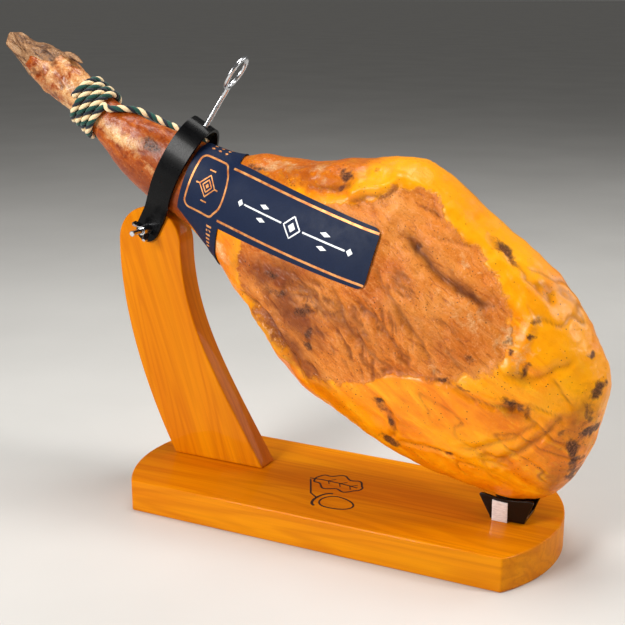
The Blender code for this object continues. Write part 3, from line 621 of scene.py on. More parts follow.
def cured_meat():
    """Fat, lean, mottled skin, mould and horn, each where its own field on the mesh says."""
    meat = Shader("cured_meat", Specular_IOR_Level=0.20, Coat_Weight=0.20, Coat_Roughness=0.13)
    broad, streaks, fibre, layers = (
        meat.noise(scale, detail, roughness, distortion, meat.stretched(stretch, HAM_TURN))
        for scale, detail, roughness, distortion, stretch in (
            (13, 4, 0.55, 0.4, (0.8, 1, 1.5)), (30, 5, 0.60, 0.7, (0.7, 1.2, 3.2)),
            (88, 5, 0.60, 0.9, (0.7, 1.2, 2.4)), (48, 5, 0.64, 0.8, (0.8, 1.4, 3.6))))
    mottle = meat.noise(105, detail=5, roughness=0.62, distortion=0.3)
    fine = meat.noise(560, detail=3, roughness=0.6)
    ragged = meat.times(meat.math("SUBTRACT", mottle, 0.5), 1.5)
    soft = meat.times(ragged, 0.5)

    def share(name, edge, low, high, top=1.0):
        return meat.ramp(meat.plus(meat.field(name), edge), (low, 0.0), (high, top))

    lean_share, mould_share, horn_share = (
        share("lean", ragged, 0.36, 0.60), share("mould", ragged, 0.40, 0.78, 0.92),
        share("horn", soft, 0.42, 0.58))
    fat = fat_colour(meat, broad, fine, streaks)
    # painted highlight: brighter, yellower fat where the light falls
    fat = meat.mix(share("painted_highlight", soft, 0.10, 0.75, 0.70), fat, (250, 166, 0))
    colour = meat.mix(lean_share, fat, lean_colour(meat, broad, fine, fibre))
    along_mottle = meat.plus(meat.times(mottle, 0.55), meat.times(fibre, 0.45))
    colour = meat.mix(share("skin", soft, 0.30, 0.72), colour, skin_colour(meat, along_mottle, fine))
    pale = meat.ramp(fine, (0.32, (222, 154, 86)), (0.60, (246, 208, 150)), (0.78, (255, 232, 190)))
    colour = meat.mix(share("pale", ragged, 0.40, 0.95, 0.9), colour, pale)
    # darker rind, and painted shade below the collar and at the butt end
    colour = meat.mix(share("dark_and_shade", soft, 0.12, 0.85, 0.85), colour, (112, 42, 2))
    mould = meat.ramp(fine, (0.32, (26, 12, 6)), (0.48, (66, 32, 14)), (0.62, (118, 68, 36)),
                      (0.80, (176, 120, 74)))
    colour = meat.mix(mould_share, colour, mould)
    for size, radius, patches in ((230, 0.17, 34), (110, 0.11, 21)):
        speck = meat.ramp(meat.cells(size), (radius * 0.6, 1.0), (radius, 0.0))
        gather = meat.ramp(meat.noise(patches, detail=3), (0.47, 0.0), (0.62, 0.9))
        colour = meat.mix(meat.times(speck, gather), colour, (58, 26, 8))
    # painted shade in the creases of folds, wrinkles, fibres and horn ribs
    colour = meat.mix(meat.times(meat.field("crease_shade"), 0.88), colour, (92, 36, 4))
    colour = meat.mix(horn_share, colour, claw_colour(meat, layers, fine))
    dull = meat.math("MAXIMUM", mould_share, horn_share)
    dull = meat.math("MAXIMUM", meat.times(lean_share, 0.6), dull)
    rough = meat.mix(dull, meat.ramp(mottle, (0.3, 0.30), (0.75, 0.44)),
                     meat.ramp(mottle, (0.3, 0.48), (0.75, 0.68)))
    height = meat.plus(meat.times(fibre, meat.plus(lean_share, 0.15)), meat.times(mottle, 0.45))
    height = meat.plus(height, meat.times(layers, meat.times(horn_share, 1.5)))
    normal = meat.bump(fine, 0.0004, 0.45, meat.bump(height, 0.0030, 0.60))
    return meat.finish(colour, Roughness=rough, Normal=normal, Coat_Normal=normal)


# ---------------------------------------------------------------- wooden stand

def plate(name, outline, thickness, placement, material):
    curve = bpy.data.curves.new(name, "CURVE")
    curve.dimensions = "2D"
    curve.fill_mode = "BOTH"
    curve.extrude = thickness / 2
    spline = curve.splines.new("POLY")
    spline.points.add(len(outline) - 1)
    for point, (x, y) in zip(spline.points, outline):
        point.co = (x, y, 0, 1)
    spline.use_cyclic_u = True
    guide = bpy.data.objects.new(name + "_guide", curve)
    bpy.context.scene.collection.objects.link(guide)
    graph = bpy.context.evaluated_depsgraph_get()
    mesh = bpy.data.meshes.new_from_object(guide.evaluated_get(graph))
    bpy.data.objects.remove(guide, do_unlink=True)
    bm = bmesh.new()
    bm.from_mesh(mesh)
    bmesh.ops.remove_doubles(bm, verts=bm.verts, dist=0.00001)
    bmesh.ops.dissolve_limit(bm, angle_limit=0.001, verts=bm.verts, edges=bm.edges)
    bm.transform(placement)
    bmesh.ops.recalc_face_normals(bm, faces=bm.faces)
    bm.to_mesh(mesh)
    bm.free()
    mesh.name = name
    return link_object(name, mesh, material)


def make_board():
    low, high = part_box("base_board")
    half_edge, half_width = BOARD_EDGE / 2, (high[1] - low[1]) / 2
    radius = (half_width ** 2 + BOARD_END_RISE ** 2) / (2 * BOARD_END_RISE)
    reach = math.asin(half_width / radius)
    end = arc((half_edge + BOARD_END_RISE - radius, 0), (radius, radius), -reach, reach, 65)
    outline = end + [(-x, -y) for x, y in end]
    height = high[2] - low[2]
    board = plate("varnished_board", outline, height, Matrix.Translation((0, 0, height / 2)),
                  varnished_wood("board_wood", 0))
    add_bevel(board, EDGE_ROUND, 4)
    place_piece(settle(board, 30), STAND, "varnished_wood", "base_board")
    return height


def make_upright(board_top):
    outer_foot, inner_foot = ((x, board_top + GAP) for x in UPRIGHT_FOOT)
    head_x, head_z = UPRIGHT_HEAD
    shoulder_z = head_z - 0.004
    inner_head, outer_head = ((head_x + side * HEAD_RADIUS, shoulder_z) for side in (1, -1))
    inner_side = bezier_points(inner_foot, (-0.1480, 0.1290), (-0.1860, 0.1820), inner_head, 48)
    outer_side = bezier_points(outer_head, (-0.2660, 0.1960), (-0.2430, 0.1130), outer_foot, 48)
    head = arc((head_x, head_z), (HEAD_RADIUS, HEAD_RADIUS), 0, math.pi, 49)[:-1]
    placement = Matrix.Translation((0, MID_Y, 0)) @ Matrix.Rotation(math.radians(90), 4, "X")
    upright = plate("varnished_upright", inner_side + head + outer_side + [outer_foot],
                    UPRIGHT_THICK, placement, varnished_wood("upright_wood", 72))
    add_bevel(upright, EDGE_ROUND, 4)
    settle(upright, 30)
    cut_hole(upright, BOLT_RADIUS + GAP, PIVOT, Y_AXIS)
    place_piece(upright, STAND, "varnished_wood", "upright")


def flat_stroke(bm, path, width, place):
    """A printed line of one width along a path of (a, b) places, put in space by place(a, b)."""
    path = np.array(path, dtype=float)
    travelled = travelled_length(path)
    count = max(3, math.ceil(travelled[-1] / STROKE_STEP))
    wanted = np.union1d(travelled, np.linspace(0, travelled[-1], count))
    path = np.stack([np.interp(wanted, travelled, path[:, axis]) for axis in (0, 1)], axis=1)
    closed = np.allclose(path[0], path[-1])
    tangents = np.gradient(path, axis=0)
    if closed:
        tangents[0] = tangents[-1] = path[1] - path[-2]
    tangents /= np.linalg.norm(tangents, axis=1)[:, None]
    sides = np.stack((-tangents[:, 1], tangents[:, 0]), axis=1)
    left = [bm.verts.new(place(*(p + s * width / 2))) for p, s in zip(path, sides)]
    right = [bm.verts.new(place(*(p - s * width / 2))) for p, s in zip(path, sides)]
    for step in range(len(path) - 1):
        bm.faces.new((left[step], left[step + 1], right[step + 1], right[step]))


def lozenge(distance, reach, half_long, half_wide):
    return [(distance - half_long, reach), (distance, reach + half_wide), (distance + half_long, reach),
            (distance, reach - half_wide)]


def lozenge_patch(bm, distance, reach, half_long, half_wide, place):
    """A filled lozenge in narrow strips, so that it follows the curved label."""
    columns = 2 * max(1, math.ceil(half_long / STROKE_STEP))
    rows = []
    for column in range(1, columns):
        offset = 2 * column / columns - 1
        half = half_wide * (1 - abs(offset))
        rows.append([bm.verts.new(place(distance + half_long * offset, reach + half * side))
                     for side in (-1, 0, 1)])
    for here, there in zip(rows, rows[1:]):
        for lane in (0, 1):
            bm.faces.new((here[lane], there[lane], there[lane + 1], here[lane + 1]))
    for end, row in ((-1, rows[0]), (1, rows[-1])):
        tip = bm.verts.new(place(distance + half_long * end, reach))
        for lane in (0, 1):
            bm.faces.new((tip, row[lane], row[lane + 1])[::-end])


def finish_print(name, bm, material, body, slot):
    bmesh.ops.triangulate(bm, faces=[face for face in bm.faces if len(face.verts) > 4])
    marks = link_object(name, mesh_of(name, bm), material)
    add_solidify(marks, PRINT_THICK, even=False)
    place_piece(settle(marks, 50), body, slot)


def make_burnt_mark(board_top):
    """An oak leaf and an acorn, drawn with scorched lines."""
    centre, turn = Vector((0.006, -0.020)), math.radians(-8)
    axis = Vector((math.cos(turn), math.sin(turn)))
    across = Vector((-axis.y, axis.x))

    def place(a, b):
        spot = centre + (axis * a + across * b) * BURNT_MARK_SCALE
        return (spot.x, spot.y, board_top + PRINT_THICK / 2 + 0.00005)

    bm = bmesh.new()
    leaf = []
    for step in range(97):
        angle = 2 * math.pi * step / 96
        lobes = 1 + 0.20 * math.cos(7 * angle)
        leaf.append((-0.010 + 0.022 * math.cos(angle), 0.016 + 0.0135 * math.sin(angle) * lobes))
    flat_stroke(bm, leaf, 0.0016, place)
    flat_stroke(bm, [(-0.036, 0.012), (-0.024, 0.0148), (-0.008, 0.0165), (0.008, 0.0165)], 0.0014, place)
    for start in (-0.020, -0.009, 0.001):
        flat_stroke(bm, [(start, 0.0158), (start + 0.004, 0.0215)], 0.0009, place)
        flat_stroke(bm, [(start, 0.0158), (start + 0.004, 0.0105)], 0.0009, place)
    nut = [(0.006 + 0.018 * math.cos(a) * (1.05 if math.cos(a) > 0 else 0.55), -0.018 + 0.011 * math.sin(a))
           for a in np.linspace(0, 2 * math.pi, 49)]
    flat_stroke(bm, nut, 0.0015, place)
    cup = arc((-0.002, -0.018), (-0.007, 0.0135), -math.pi / 2, math.pi / 2, 17)
    flat_stroke(bm, cup, 0.0022, place)
    flat_stroke(bm, [(-0.009, -0.018), (-0.018, -0.013), (-0.027, 0.000), (-0.034, 0.010)], 0.0014, place)
    finish_print("burnt_mark", bm, scorched_line(), STAND, "varnished_wood")


# ---------------------------------------------------------------- metal parts

def collar_axes():
    up = Vector((math.sin(COLLAR_TILT), 0, math.cos(COLLAR_TILT)))
    across = Vector((math.cos(COLLAR_TILT), 0, -math.sin(COLLAR_TILT)))
    return up, across


def screw_foot():
    up, across = collar_axes()
    foot = PIVOT + up * (COLLAR_RISE - STRAP_THICK / 2)
    return foot + across * SCREW_SHIFT[0] + Vector((0, SCREW_SHIFT[1], 0))


def screw_axis():
    return Vector((math.sin(SCREW_TILT), 0, math.cos(SCREW_TILT)))


def make_collar():
    """Bent strap with half-round ears, edges broken, holes for the bolt and the screw."""
    up, across = collar_axes()
    ear = UPRIGHT_THICK / 2 + GAP + STRAP_THICK / 2
    crest = COLLAR_RISE - STRAP_THICK / 2
    arch = ((ear, 0.016), (ear + 0.0014, 0.025), (0.0232, 0.042), (0.0278, 0.059), (0.0290, 0.076),
            (0.0273, 0.092), (0.0228, 0.107), (0.0163, 0.1185), (0.0085, 0.1257), (0.0, crest))
    half = smooth_rows(arch, 8)
    path = [(-y, h) for y, h in half] + [(y, h) for y, h in half[-2::-1]]
    columns, ear_rows = 20, 14
    half_width = STRAP_WIDTH / 2

    def strap_row(y, height_at):
        row = []
        for column in range(columns + 1):
            offset = -half_width * math.cos(math.pi * column / columns)
            spot = PIVOT + up * height_at(offset) + across * offset
            row.append((spot.x, MID_Y + y, spot.z))
        return row

    def ear_height(level):
        return lambda offset: (-math.sqrt(max(half_width ** 2 - offset ** 2, 0.0)) * (1 - level)
                               + half[0][1] * level)

    rows = [strap_row(-ear, ear_height(level / ear_rows)) for level in range(ear_rows)]
    rows += [strap_row(y, lambda _, h=h: h) for y, h in path]
    rows += [strap_row(ear, ear_height(level / ear_rows)) for level in range(ear_rows - 1, -1, -1)]
    collar = grid_object("strap_collar", rows, black_coating())
    bm = bmesh.new()
    bm.from_mesh(collar.data)
    bmesh.ops.remove_doubles(bm, verts=bm.verts, dist=0.00001)
    bm.to_mesh(collar.data)
    bm.free()
    add_solidify(collar, STRAP_THICK)
    add_bevel(collar, 0.0005, 3, 60)
    settle(collar, 40)
    cut_hole(collar, BOLT_RADIUS + GAP, PIVOT, Y_AXIS)
    cut_hole(collar, SCREW_RADIUS + SCREW_PLAY, screw_foot(), screw_axis(), 0.02)
    place_piece(collar, STAND, "black_steel", "collar")


def make_clamp_screw(metal):
    """Threaded rod and its ring, bent from the same wire."""
    axis, foot = screw_axis(), screw_foot()
    side = Vector((axis.z, 0, -axis.x))
    tip = foot + axis * (min(v.co.dot(axis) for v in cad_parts["clamp_screw"].data.vertices)
                         - foot.dot(axis))
    length = (foot + axis * (RING_CENTRE_RISE - RING_RADIUS) - tip).length
    rows_per_turn, sides = 6, 20
    count = round(length / THREAD_PITCH * rows_per_turn)
    rows = []
    for row in range(count + 1):
        rise = length * row / count
        plain = smooth(np.array(rise), length * 0.80, length * 0.86)
        ring = []
        for corner in range(sides):
            angle = 2 * math.pi * corner / sides
            phase = (rise / THREAD_PITCH + corner / sides) % 1.0
            groove = abs(2 * phase - 1) * THREAD_DEPTH * (1 - float(plain))
            ring.append(tip + axis * rise + (side * math.cos(angle) + Y_AXIS * math.sin(angle))
                        * (SCREW_RADIUS - groove))
        rows.append(ring)
    rod = grid_object("threaded_rod", rows, metal, closed=True, capped=True)
    place_piece(settle(rod, 50), CLAMP, "bright_steel", "clamp_screw")
    centre = foot + axis * RING_CENTRE_RISE
    flat = side * math.cos(RING_TURN) + Y_AXIS * math.sin(RING_TURN)
    normal = axis.cross(flat)
    steps, wire_sides = 72, 16
    wire, half_gap = RING_WIRE * 0.96, 0.0008
    loops = []
    for step in range(steps + 1):
        # the wire starts at the rod, runs round and ends beside its start
        angle = math.pi + 2 * math.pi * step / steps
        outward = axis * math.cos(angle) + flat * math.sin(angle)
        offset = normal * (half_gap * (2 * step / steps - 1))
        loop = []
        for corner in range(wire_sides):
            turn = 2 * math.pi * corner / wire_sides
            loop.append(centre + offset + outward * (RING_RADIUS + wire * math.cos(turn))
                        + normal * wire * math.sin(turn))
        loops.append(loop)
    ring = grid_object("screw_ring", loops, metal, closed=True, capped=True)
    place_piece(settle(ring, 50), CLAMP, "bright_steel")


def cradle_path(offset, board_top, rows):
    """Bent profile in y and z: front plate, bottom, back plate; offset moves it outwards."""
    floor = board_top + GAP + BAND_THICK + GAP + CRADLE_THICK / 2
    lean_out = CRADLE_HALF_TOP - CRADLE_HALF_BOTTOM
    slope = Vector((lean_out, CRADLE_RISE)).normalized()
    bottom_y = CRADLE_HALF_BOTTOM + offset * (1 - slope.x) / slope.y
    side = [(bottom_y + lean_out * row / rows, floor - offset + CRADLE_RISE * row / rows)
            for row in range(rows + 1)]
    return [(CRADLE_MID_Y - y, z) for y, z in side[::-1]] + [(CRADLE_MID_Y + y, z) for y, z in side]


def cradle_sheet(name, board_top, offset, columns, material, ends=None):
    """A sheet bent along the cradle's profile, dipped at the top for the ham; ends fixes its width."""
    path = cradle_path(offset, board_top, 20)
    points = []
    for index, (y, z) in enumerate(path):
        level = abs(2 * index / (len(path) - 1) - 1)
        low, high = (bottom + flare * level for bottom, flare in zip(CRADLE_BOTTOM, CRADLE_FLARE))
        rounding = 0.006 * max(0.0, (level - 0.86) / 0.14) ** 2
        dip = CRADLE_DIP * max(0.0, (level - 0.5) / 0.5)
        points.append([(x, y, z - dip * math.sin(math.pi * (x - low) / (high - low)))
                       for x in np.linspace(*(ends or (low + rounding, high - rounding)), columns + 1)])
    return grid_object(name, points, material)


def make_cradle(board_top):
    pad = cradle_sheet("glossy_pad", board_top, 0.0, 20, black_pad())
    add_solidify(pad, CRADLE_THICK)
    add_bevel(pad, 0.0006, 3, 60)
    place_piece(settle(pad, 40), STAND, "black_pad", "cradle")
    steel = bright_metal("band_steel", (250, 250, 250), 0.30, 0.35)
    outside = CRADLE_THICK / 2 + GAP + BAND_THICK / 2
    band = cradle_sheet("steel_band", board_top, outside, 4, steel, BAND_RANGE)
    add_solidify(band, BAND_THICK)
    add_bevel(band, 0.0002, 2, 60)
    place_piece(settle(band, 40), STAND, "band_steel", "cradle_band")


# ---------------------------------------------------------------- ham

def line_distance(places, line):
    """Distance of each place from a bent line."""
    best = np.full(len(places), np.inf)
    for start, end in zip(line, line[1:]):
        run = end - start
        share = np.clip(((places - start) @ run) / (run @ run), 0, 1)
        best = np.minimum(best, np.linalg.norm(places - start - share[:, None] * run, axis=1))
    return best


def inward_distance(places, outline):
    """Distance from a closed outline, positive inside it."""
    inside = np.zeros(len(places), bool)
    for (x1, y1), (x2, y2) in zip(outline, outline[1:]):
        crosses = (y1 > places[:, 1]) != (y2 > places[:, 1])
        inside ^= crosses & (places[:, 0] < x1 + (places[:, 1] - y1) * (x2 - x1) / (y2 - y1 + 1e-12))
    return np.where(inside, 1, -1) * line_distance(places, outline)


def noise_field(points, scale, octaves, seed):
    """Fractal noise at each point, about -1 to 1."""
    shift = Vector((seed, seed * 1.7, -seed))
    return np.array([noise.fractal(Vector(point) * scale + shift, 1.0, 2.0, octaves) for point in points])


def drift(points, scale, octaves, seed, reach):
    """A noisy shift of places, up to about reach both ways."""
    pair = [noise_field(points, scale, octaves, seed + step) for step in (0, 1)]
    return np.stack(pair, axis=1) * reach


def blob(places, u, v, half_u, half_v):
    """A soft oval hill of height 1."""
    return np.exp(-(((places - (u, v)) / (half_u, half_v)) ** 2).sum(axis=1))


def ham_surface(rings, sides):
    """Points of the smooth ham, with the place along, the height and the share to the front."""
    rows = resample(smooth_rows(HAM_STATIONS, 8), rings)
    angle = 2 * np.pi * np.arange(sides) / sides
    angle = angle + FRONT_CROWDING * np.cos(angle)
    along, upper, lower, half_thick, fullness = (rows[:, column, None] for column in range(5))
    rise = np.sign(np.cos(angle)) * np.abs(np.cos(angle)) ** (2 / fullness)
    reach = np.sign(np.sin(angle)) * np.abs(np.sin(angle)) ** (2 / fullness)
    height = (upper + lower) / 2 + (upper - lower) / 2 * rise
    cleft_share = np.maximum(0.0, 1 - (along - CLEFT_START) / CLEFT_LENGTH)
    notch = np.exp(-((height - CLEFT_RISE) / CLEFT_WIDTH) ** 2)
    depth = half_thick * reach * (1 - CLEFT_DEPTH * cleft_share ** 0.5 * notch)
    along = np.broadcast_to(along, height.shape)
    points = (np.array(HAM_ORIGIN) + along[..., None] * np.array(HAM_AXIS)
              + height[..., None] * np.array(HAM_UP))
    points[..., 1] = MID_Y + HAM_DRIFT * np.maximum(along, 0.0) - depth
    return points, along, height, reach


def surface_normals(points):
    along = np.gradient(points, axis=0)
    around = np.roll(points, -1, axis=1) - np.roll(points, 1, axis=1)
    normals = np.cross(along, around)
    length = np.linalg.norm(normals, axis=2, keepdims=True)
    normals = normals / np.maximum(length, 1e-12)
    centres = points.mean(axis=1, keepdims=True)
    outward = np.sign(((points - centres) * normals).sum(axis=2).mean())
    return normals * outward


def label_zone(points):
    """1 where the label lies on the skin, 0 away from it."""
    along, up = label_directions()
    offset = points - np.array(LABEL_START)
    distance, reach = offset @ np.array(along), np.abs(offset @ np.array(up))
    front = points[:, 1] < MID_Y
    tongue = window(distance, -0.012, 0.0, LABEL_LENGTH, LABEL_LENGTH + 0.012) * smooth(reach, 0.044, 0.034)
    band = window(distance, -0.030, -0.010, LABEL_BAND + 0.004, LABEL_BAND + 0.018)
    return np.maximum(tongue * front, band)


def spread_of(places, patches):
    """The strongest of soft oval patches at each place."""
    strongest = np.zeros(len(places))
    for u, v, half_u, half_v, turn, strength in patches:
        cosine, sine = math.cos(math.radians(turn)), math.sin(math.radians(turn))
        du, dv = (places / MM - (u, v)).T
        spread = ((du * cosine + dv * sine) / half_u) ** 2 + ((dv * cosine - du * sine) / half_v) ** 2
        strongest = np.maximum(strongest, strength * np.exp(-0.8 * spread))
    return strongest


def ham_fields(places, points, front):
    """Share of each look over the skin."""
    along, height = places.T
    facing = smooth(front, 0.05, 0.30)
    behind = smooth(-front, 0.0, 0.3)
    jitter = noise_field(points, 45, 3, 3.0) * 0.004
    drifted = places + drift(points, 70, 3, 12.0, 0.004)
    outline = smooth_rows(LEAN_OUTLINE + LEAN_OUTLINE[:1], 4) * MM
    softness = 0.005 + 0.010 * smooth(along, 0.33, 0.37) + 0.007 * smooth(height, -0.020, -0.040)
    back_mould = smooth(noise_field(points, 22, 4, 9.0), 0.30, 0.62) * 0.75 * behind
    back_deep = smooth(noise_field(points, 12, 3, 14.0), 0.1, 0.6) * 0.5 * behind
    shank = window(along, -0.225, -0.205, 0.030, 0.075)
    shoulder = smooth(along, 0.205, 0.160) * smooth(height - 0.62 * along, -0.012, 0.008)
    pastern = window(along, -0.215, -0.195, -0.145, -0.120)
    horn_line = -0.2080 + 0.0260 * smooth(height, -0.014, -0.002) + 0.010 * smooth(-height, 0.024, 0.032)
    return {
        "lean": smooth((inward_distance(places, outline) + jitter) / softness, -1.0, 1.0) * facing,
        "mould": np.maximum(spread_of(drifted, PATCHES) * facing, back_mould * smooth(along, -0.02, 0.05)),
        # painted highlight on the fat
        "painted_highlight": spread_of(drifted, PAINTED_HIGHLIGHTS) * smooth(front, -0.7, 0.1),
        # darker rind, and painted shade below the collar and at the butt end
        "dark_and_shade": np.maximum(spread_of(drifted, DARK_TONES_AND_SHADE) * facing, back_deep),
        "skin": np.maximum(shank * 0.95, shoulder * 0.58),
        "pale": np.clip(0.60 * pastern + spread_of(drifted, PALES) * facing, 0, 1),
        "horn": smooth(along + jitter, horn_line + 0.0025, horn_line - 0.0025),
    }


def wrinkle_lines(points, stretch, seed, sharpness, patches):
    """Thin winding lines where a stretched noise crosses zero, kept only in patches."""
    lines = np.exp(-(noise_field(points * np.array(stretch), 1, 3, seed) / sharpness) ** 2)
    return lines * smooth(noise_field(points, patches, 2, seed + 20), -0.05, 0.30)


def ham_relief(places, points, fields, front):
    """Height of folds, pits, fibres and lumps above the smooth ham, and the painted shade in its creases."""
    along, height = places.T
    lean, claw, facing = fields["lean"], fields["horn"], smooth(front, 0.05, 0.30)
    relief = noise_field(points, 14, 3, 1.0) * 0.0018 * smooth(along, 0.03, 0.12)
    relief += noise_field(points, 55, 3, 2.0) * 0.0008
    relief -= 0.0032 * smooth(lean, 0.1, 0.9)
    # painted shade: how much darker each fold valley, wrinkle, fibre groove and groove between horn ribs is
    # painted
    crease_shade = np.zeros(len(places))
    wandered = places + drift(points, 60, 2, 5.0, 0.0026)
    for width, depth, *line in FOLDS:
        line = np.array(line) * MM
        across = line_distance(wandered, smooth_rows(line, 4)) / (width * MM)
        half = np.linalg.norm(line[-1] - line[0]) / 2
        from_middle = np.linalg.norm(places - line[len(line) // 2], axis=1)
        fade = smooth(from_middle, half * 1.15, half * 0.75) * facing
        # a valley between two low shoulders
        relief -= depth * MM * (np.exp(-across ** 2) - 0.35 * np.exp(-(across - 1.9) ** 2)) * fade
        if depth > 0:
            crease_shade = np.maximum(crease_shade, np.exp(-(2 * across) ** 2) * fade * min(0.9, depth / 3.4))
    for u, v, half, depth in np.array(PITS) * MM:
        relief -= depth * blob(places, u, v, half, 0.7 * half) * facing
    # fine wrinkles: long ones in the fat, closer ones in the lean, both roughly along the leg
    flat = np.stack((along, points[:, 1], height), axis=1)
    fat_lines = wrinkle_lines(flat, (11, 14, 30), 15.0, 0.055, 13) * (1 - lean) * smooth(along, 0.10, 0.20)
    lean_lines = wrinkle_lines(flat, (16, 20, 55), 16.0, 0.085, 18) * lean
    relief -= 0.0013 * (fat_lines + lean_lines)
    crease_shade = np.maximum(crease_shade, np.maximum(0.50 * fat_lines, 0.62 * lean_lines))
    # dried strands of the lean run along curved lines
    bend = 10.0 * (along - 0.235)
    strand_v = height * np.cos(bend * 0.5) + (along - 0.235) * np.sin(bend)
    strands = np.stack((along * 0.30, points[:, 1] * 0.3, strand_v), axis=1)
    fibres = noise_field(strands, 150, 3, 4.0)
    strand_zone = window(along, 0.175, 0.205, 0.300, 0.345) * window(height, -0.022, 0.000, 0.050, 0.078)
    relief += fibres * lean * (0.0004 + 0.0018 * strand_zone)
    crease_shade = np.maximum(crease_shade, smooth(-fibres, 0.10, 0.50) * lean * strand_zone * 0.75)
    # the crumbled edge between lean and fat at the butt's side, and a granular stretch below the label
    crumbs = blob(places, 0.386, 0.115, 0.016, 0.032) * facing
    lumps = blob(places, 0.150, 0.010, 0.045, 0.030) * facing
    relief += noise_field(points, 130, 3, 7.0) * (0.0018 * crumbs + 0.0015 * lumps)
    # wrinkled pastern, sinews of the shank and ribbed horn
    pastern = window(along, -0.212, -0.195, -0.150, -0.135)
    folds = noise_field(points * (1.5, 1.0, 1.0), 85, 3, 8.0)
    relief += folds * 0.0014 * pastern
    crease_shade = np.maximum(crease_shade, smooth(-folds, 0.15, 0.6) * pastern * 0.85)
    sinews = wrinkle_lines(flat, (9, 30, 60), 17.0, 0.10, 20) * window(along, -0.14, -0.10, 0.0, 0.06)
    relief -= 0.0006 * sinews
    crease_shade = np.maximum(crease_shade, 0.55 * sinews)
    ribs = noise_field(flat * (0.5, 1.0, 1.6), 120, 4, 10.0)
    relief += (ribs - 0.5) * 0.0013 * claw
    crease_shade = np.maximum(crease_shade, smooth(-ribs, 0.1, 0.5) * claw * 0.7)
    # the back is evenly wrinkled rind
    back = smooth(-front, 0.0, 0.35) * smooth(along, 0.02, 0.10)
    relief += noise_field(points * (1.0, 1.0, 2.2), 26, 4, 11.0) * 0.0016 * back
    # little relief under the label, the collar and the rope, and none at the two ends
    collar = window(along, -0.062, -0.045, 0.004, 0.020)
    seat = window(along, -0.150, -0.142, -0.100, -0.092)
    held = np.maximum(label_zone(points), np.maximum(collar, seat))
    relief = relief * (1 - 0.85 * held) - 0.0003 * held
    return relief * window(along, -0.2535, -0.243, 0.492, 0.502), crease_shade * (1 - held)


def make_ham():
    points, along, height, front = ham_surface(HAM_RINGS, HAM_SIDES)
    normals = surface_normals(points)
    places = np.stack((along.ravel(), height.ravel()), axis=1)
    flat_points, flat_front = points.reshape(-1, 3), front.ravel()
    fields = ham_fields(places, flat_points, flat_front)
    relief, fields["crease_shade"] = ham_relief(places, flat_points, fields, flat_front)
    shaped = flat_points + normals.reshape(-1, 3) * relief[:, None]
    low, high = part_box("ham")
    shaped = np.clip(shaped, np.array(low) + BOX_MARGIN, np.array(high) - BOX_MARGIN)
    ham = grid_object("cured_leg", shaped.reshape(points.shape), cured_meat(), closed=True, capped=True)
    for name, values in fields.items():
        attribute = ham.data.attributes.new(name, "FLOAT", "POINT")
        attribute.data.foreach_set("value", np.ascontiguousarray(values, dtype=np.float32))
    ham.data.shade_smooth()
    place_piece(ham, STAND, "cured_meat", "ham")
    make_dewclaw()


def make_dewclaw():
    """The small claw above the pastern, a bent cone that points back along the shank."""
    root = HAM_ORIGIN + HAM_AXIS * DEWCLAW_ROOT[0] + HAM_UP * DEWCLAW_ROOT[1]
    tip = HAM_ORIGIN + HAM_AXIS * DEWCLAW_TIP[0] + HAM_UP * DEWCLAW_TIP[1]
    run = (tip - root).normalized()
    lift = Y_AXIS.cross(run)
    rows = []
    steps, sides = 24, 20
    for step in range(steps + 1):
        share = step / steps
        centre = root.lerp(tip, share) - lift * 0.0022 * math.sin(math.pi * share)
        width = DEWCLAW_RADIUS * (math.sin(math.pi * min(0.5, 0.12 + share * 0.9)) * (1 - share ** 4) + 0.02)
        ring = []
        for corner in range(sides):
            angle = 2 * math.pi * corner / sides
            ribs = 1 + 0.05 * math.sin(share * 40 + 2 * math.sin(angle))
            ring.append(centre + (Y_AXIS * math.cos(angle) + lift * 0.75 * math.sin(angle)) * width * ribs)
        rows.append(ring)
    claw = grid_object("dewclaw", rows, horn(), closed=True, capped=True)
    place_piece(settle(claw, 60), STAND, "cured_meat")


def smooth_skin():
    """Search tree of the smooth ham, on which the rope and the label lie."""
    points = ham_surface(150, 96)[0]
    mesh = grid_mesh("skin", points, closed=True, capped=True)
    bm = bmesh.new()
    bm.from_mesh(mesh)
    bmesh.ops.triangulate(bm, faces=bm.faces)
    tree = BVHTree.FromBMesh(bm)
    bm.free()
    bpy.data.meshes.remove(mesh)
    return tree


# ---------------------------------------------------------------- rope

def skin_point(skin, stations, along, angle, lift):
    """Point above the skin: angle 0 is on top, 90 degrees at the front."""
    upper, lower = (np.interp(along, stations[:, 0], stations[:, column]) for column in (1, 2))
    centre = HAM_ORIGIN + HAM_AXIS * along + HAM_UP * ((upper + lower) / 2)
    centre.y = MID_Y + HAM_DRIFT * max(along, 0.0)
    outward = HAM_UP * math.cos(angle) - Y_AXIS * math.sin(angle)
    hit = skin.ray_cast(centre + outward * 0.2, -outward)[0]
    return hit + outward * lift


def rope_route(skin):
    """Turns round the shank, then a tail along its top that ends under the collar."""
    stations = smooth_rows(HAM_STATIONS, 8)
    lift = ROPE_RADIUS + ROPE_STAND_OFF * 0.5
    first = -0.1365
    start_angle, end_angle = math.radians(-80), math.radians(360 * ROPE_FRONT_PASSES - 42)
    steps = 150
    route = []
    for step in range(steps + 1):
        angle = start_angle + (end_angle - start_angle) * step / steps
        along = first + ROPE_PITCH * (angle - start_angle) / (2 * math.pi)
        route.append(skin_point(skin, stations, along, -angle, lift))
    tail = ((-0.096, 40), (-0.086, 18), (-0.074, -2), (-0.060, -14), (-0.044, -18), (-0.030, -18),
            (-0.018, -18), (-0.006, -20), (0.003, -24))
    for along, degrees in tail:
        route.append(skin_point(skin, stations, along, math.radians(degrees), lift))
    return np.array(route)


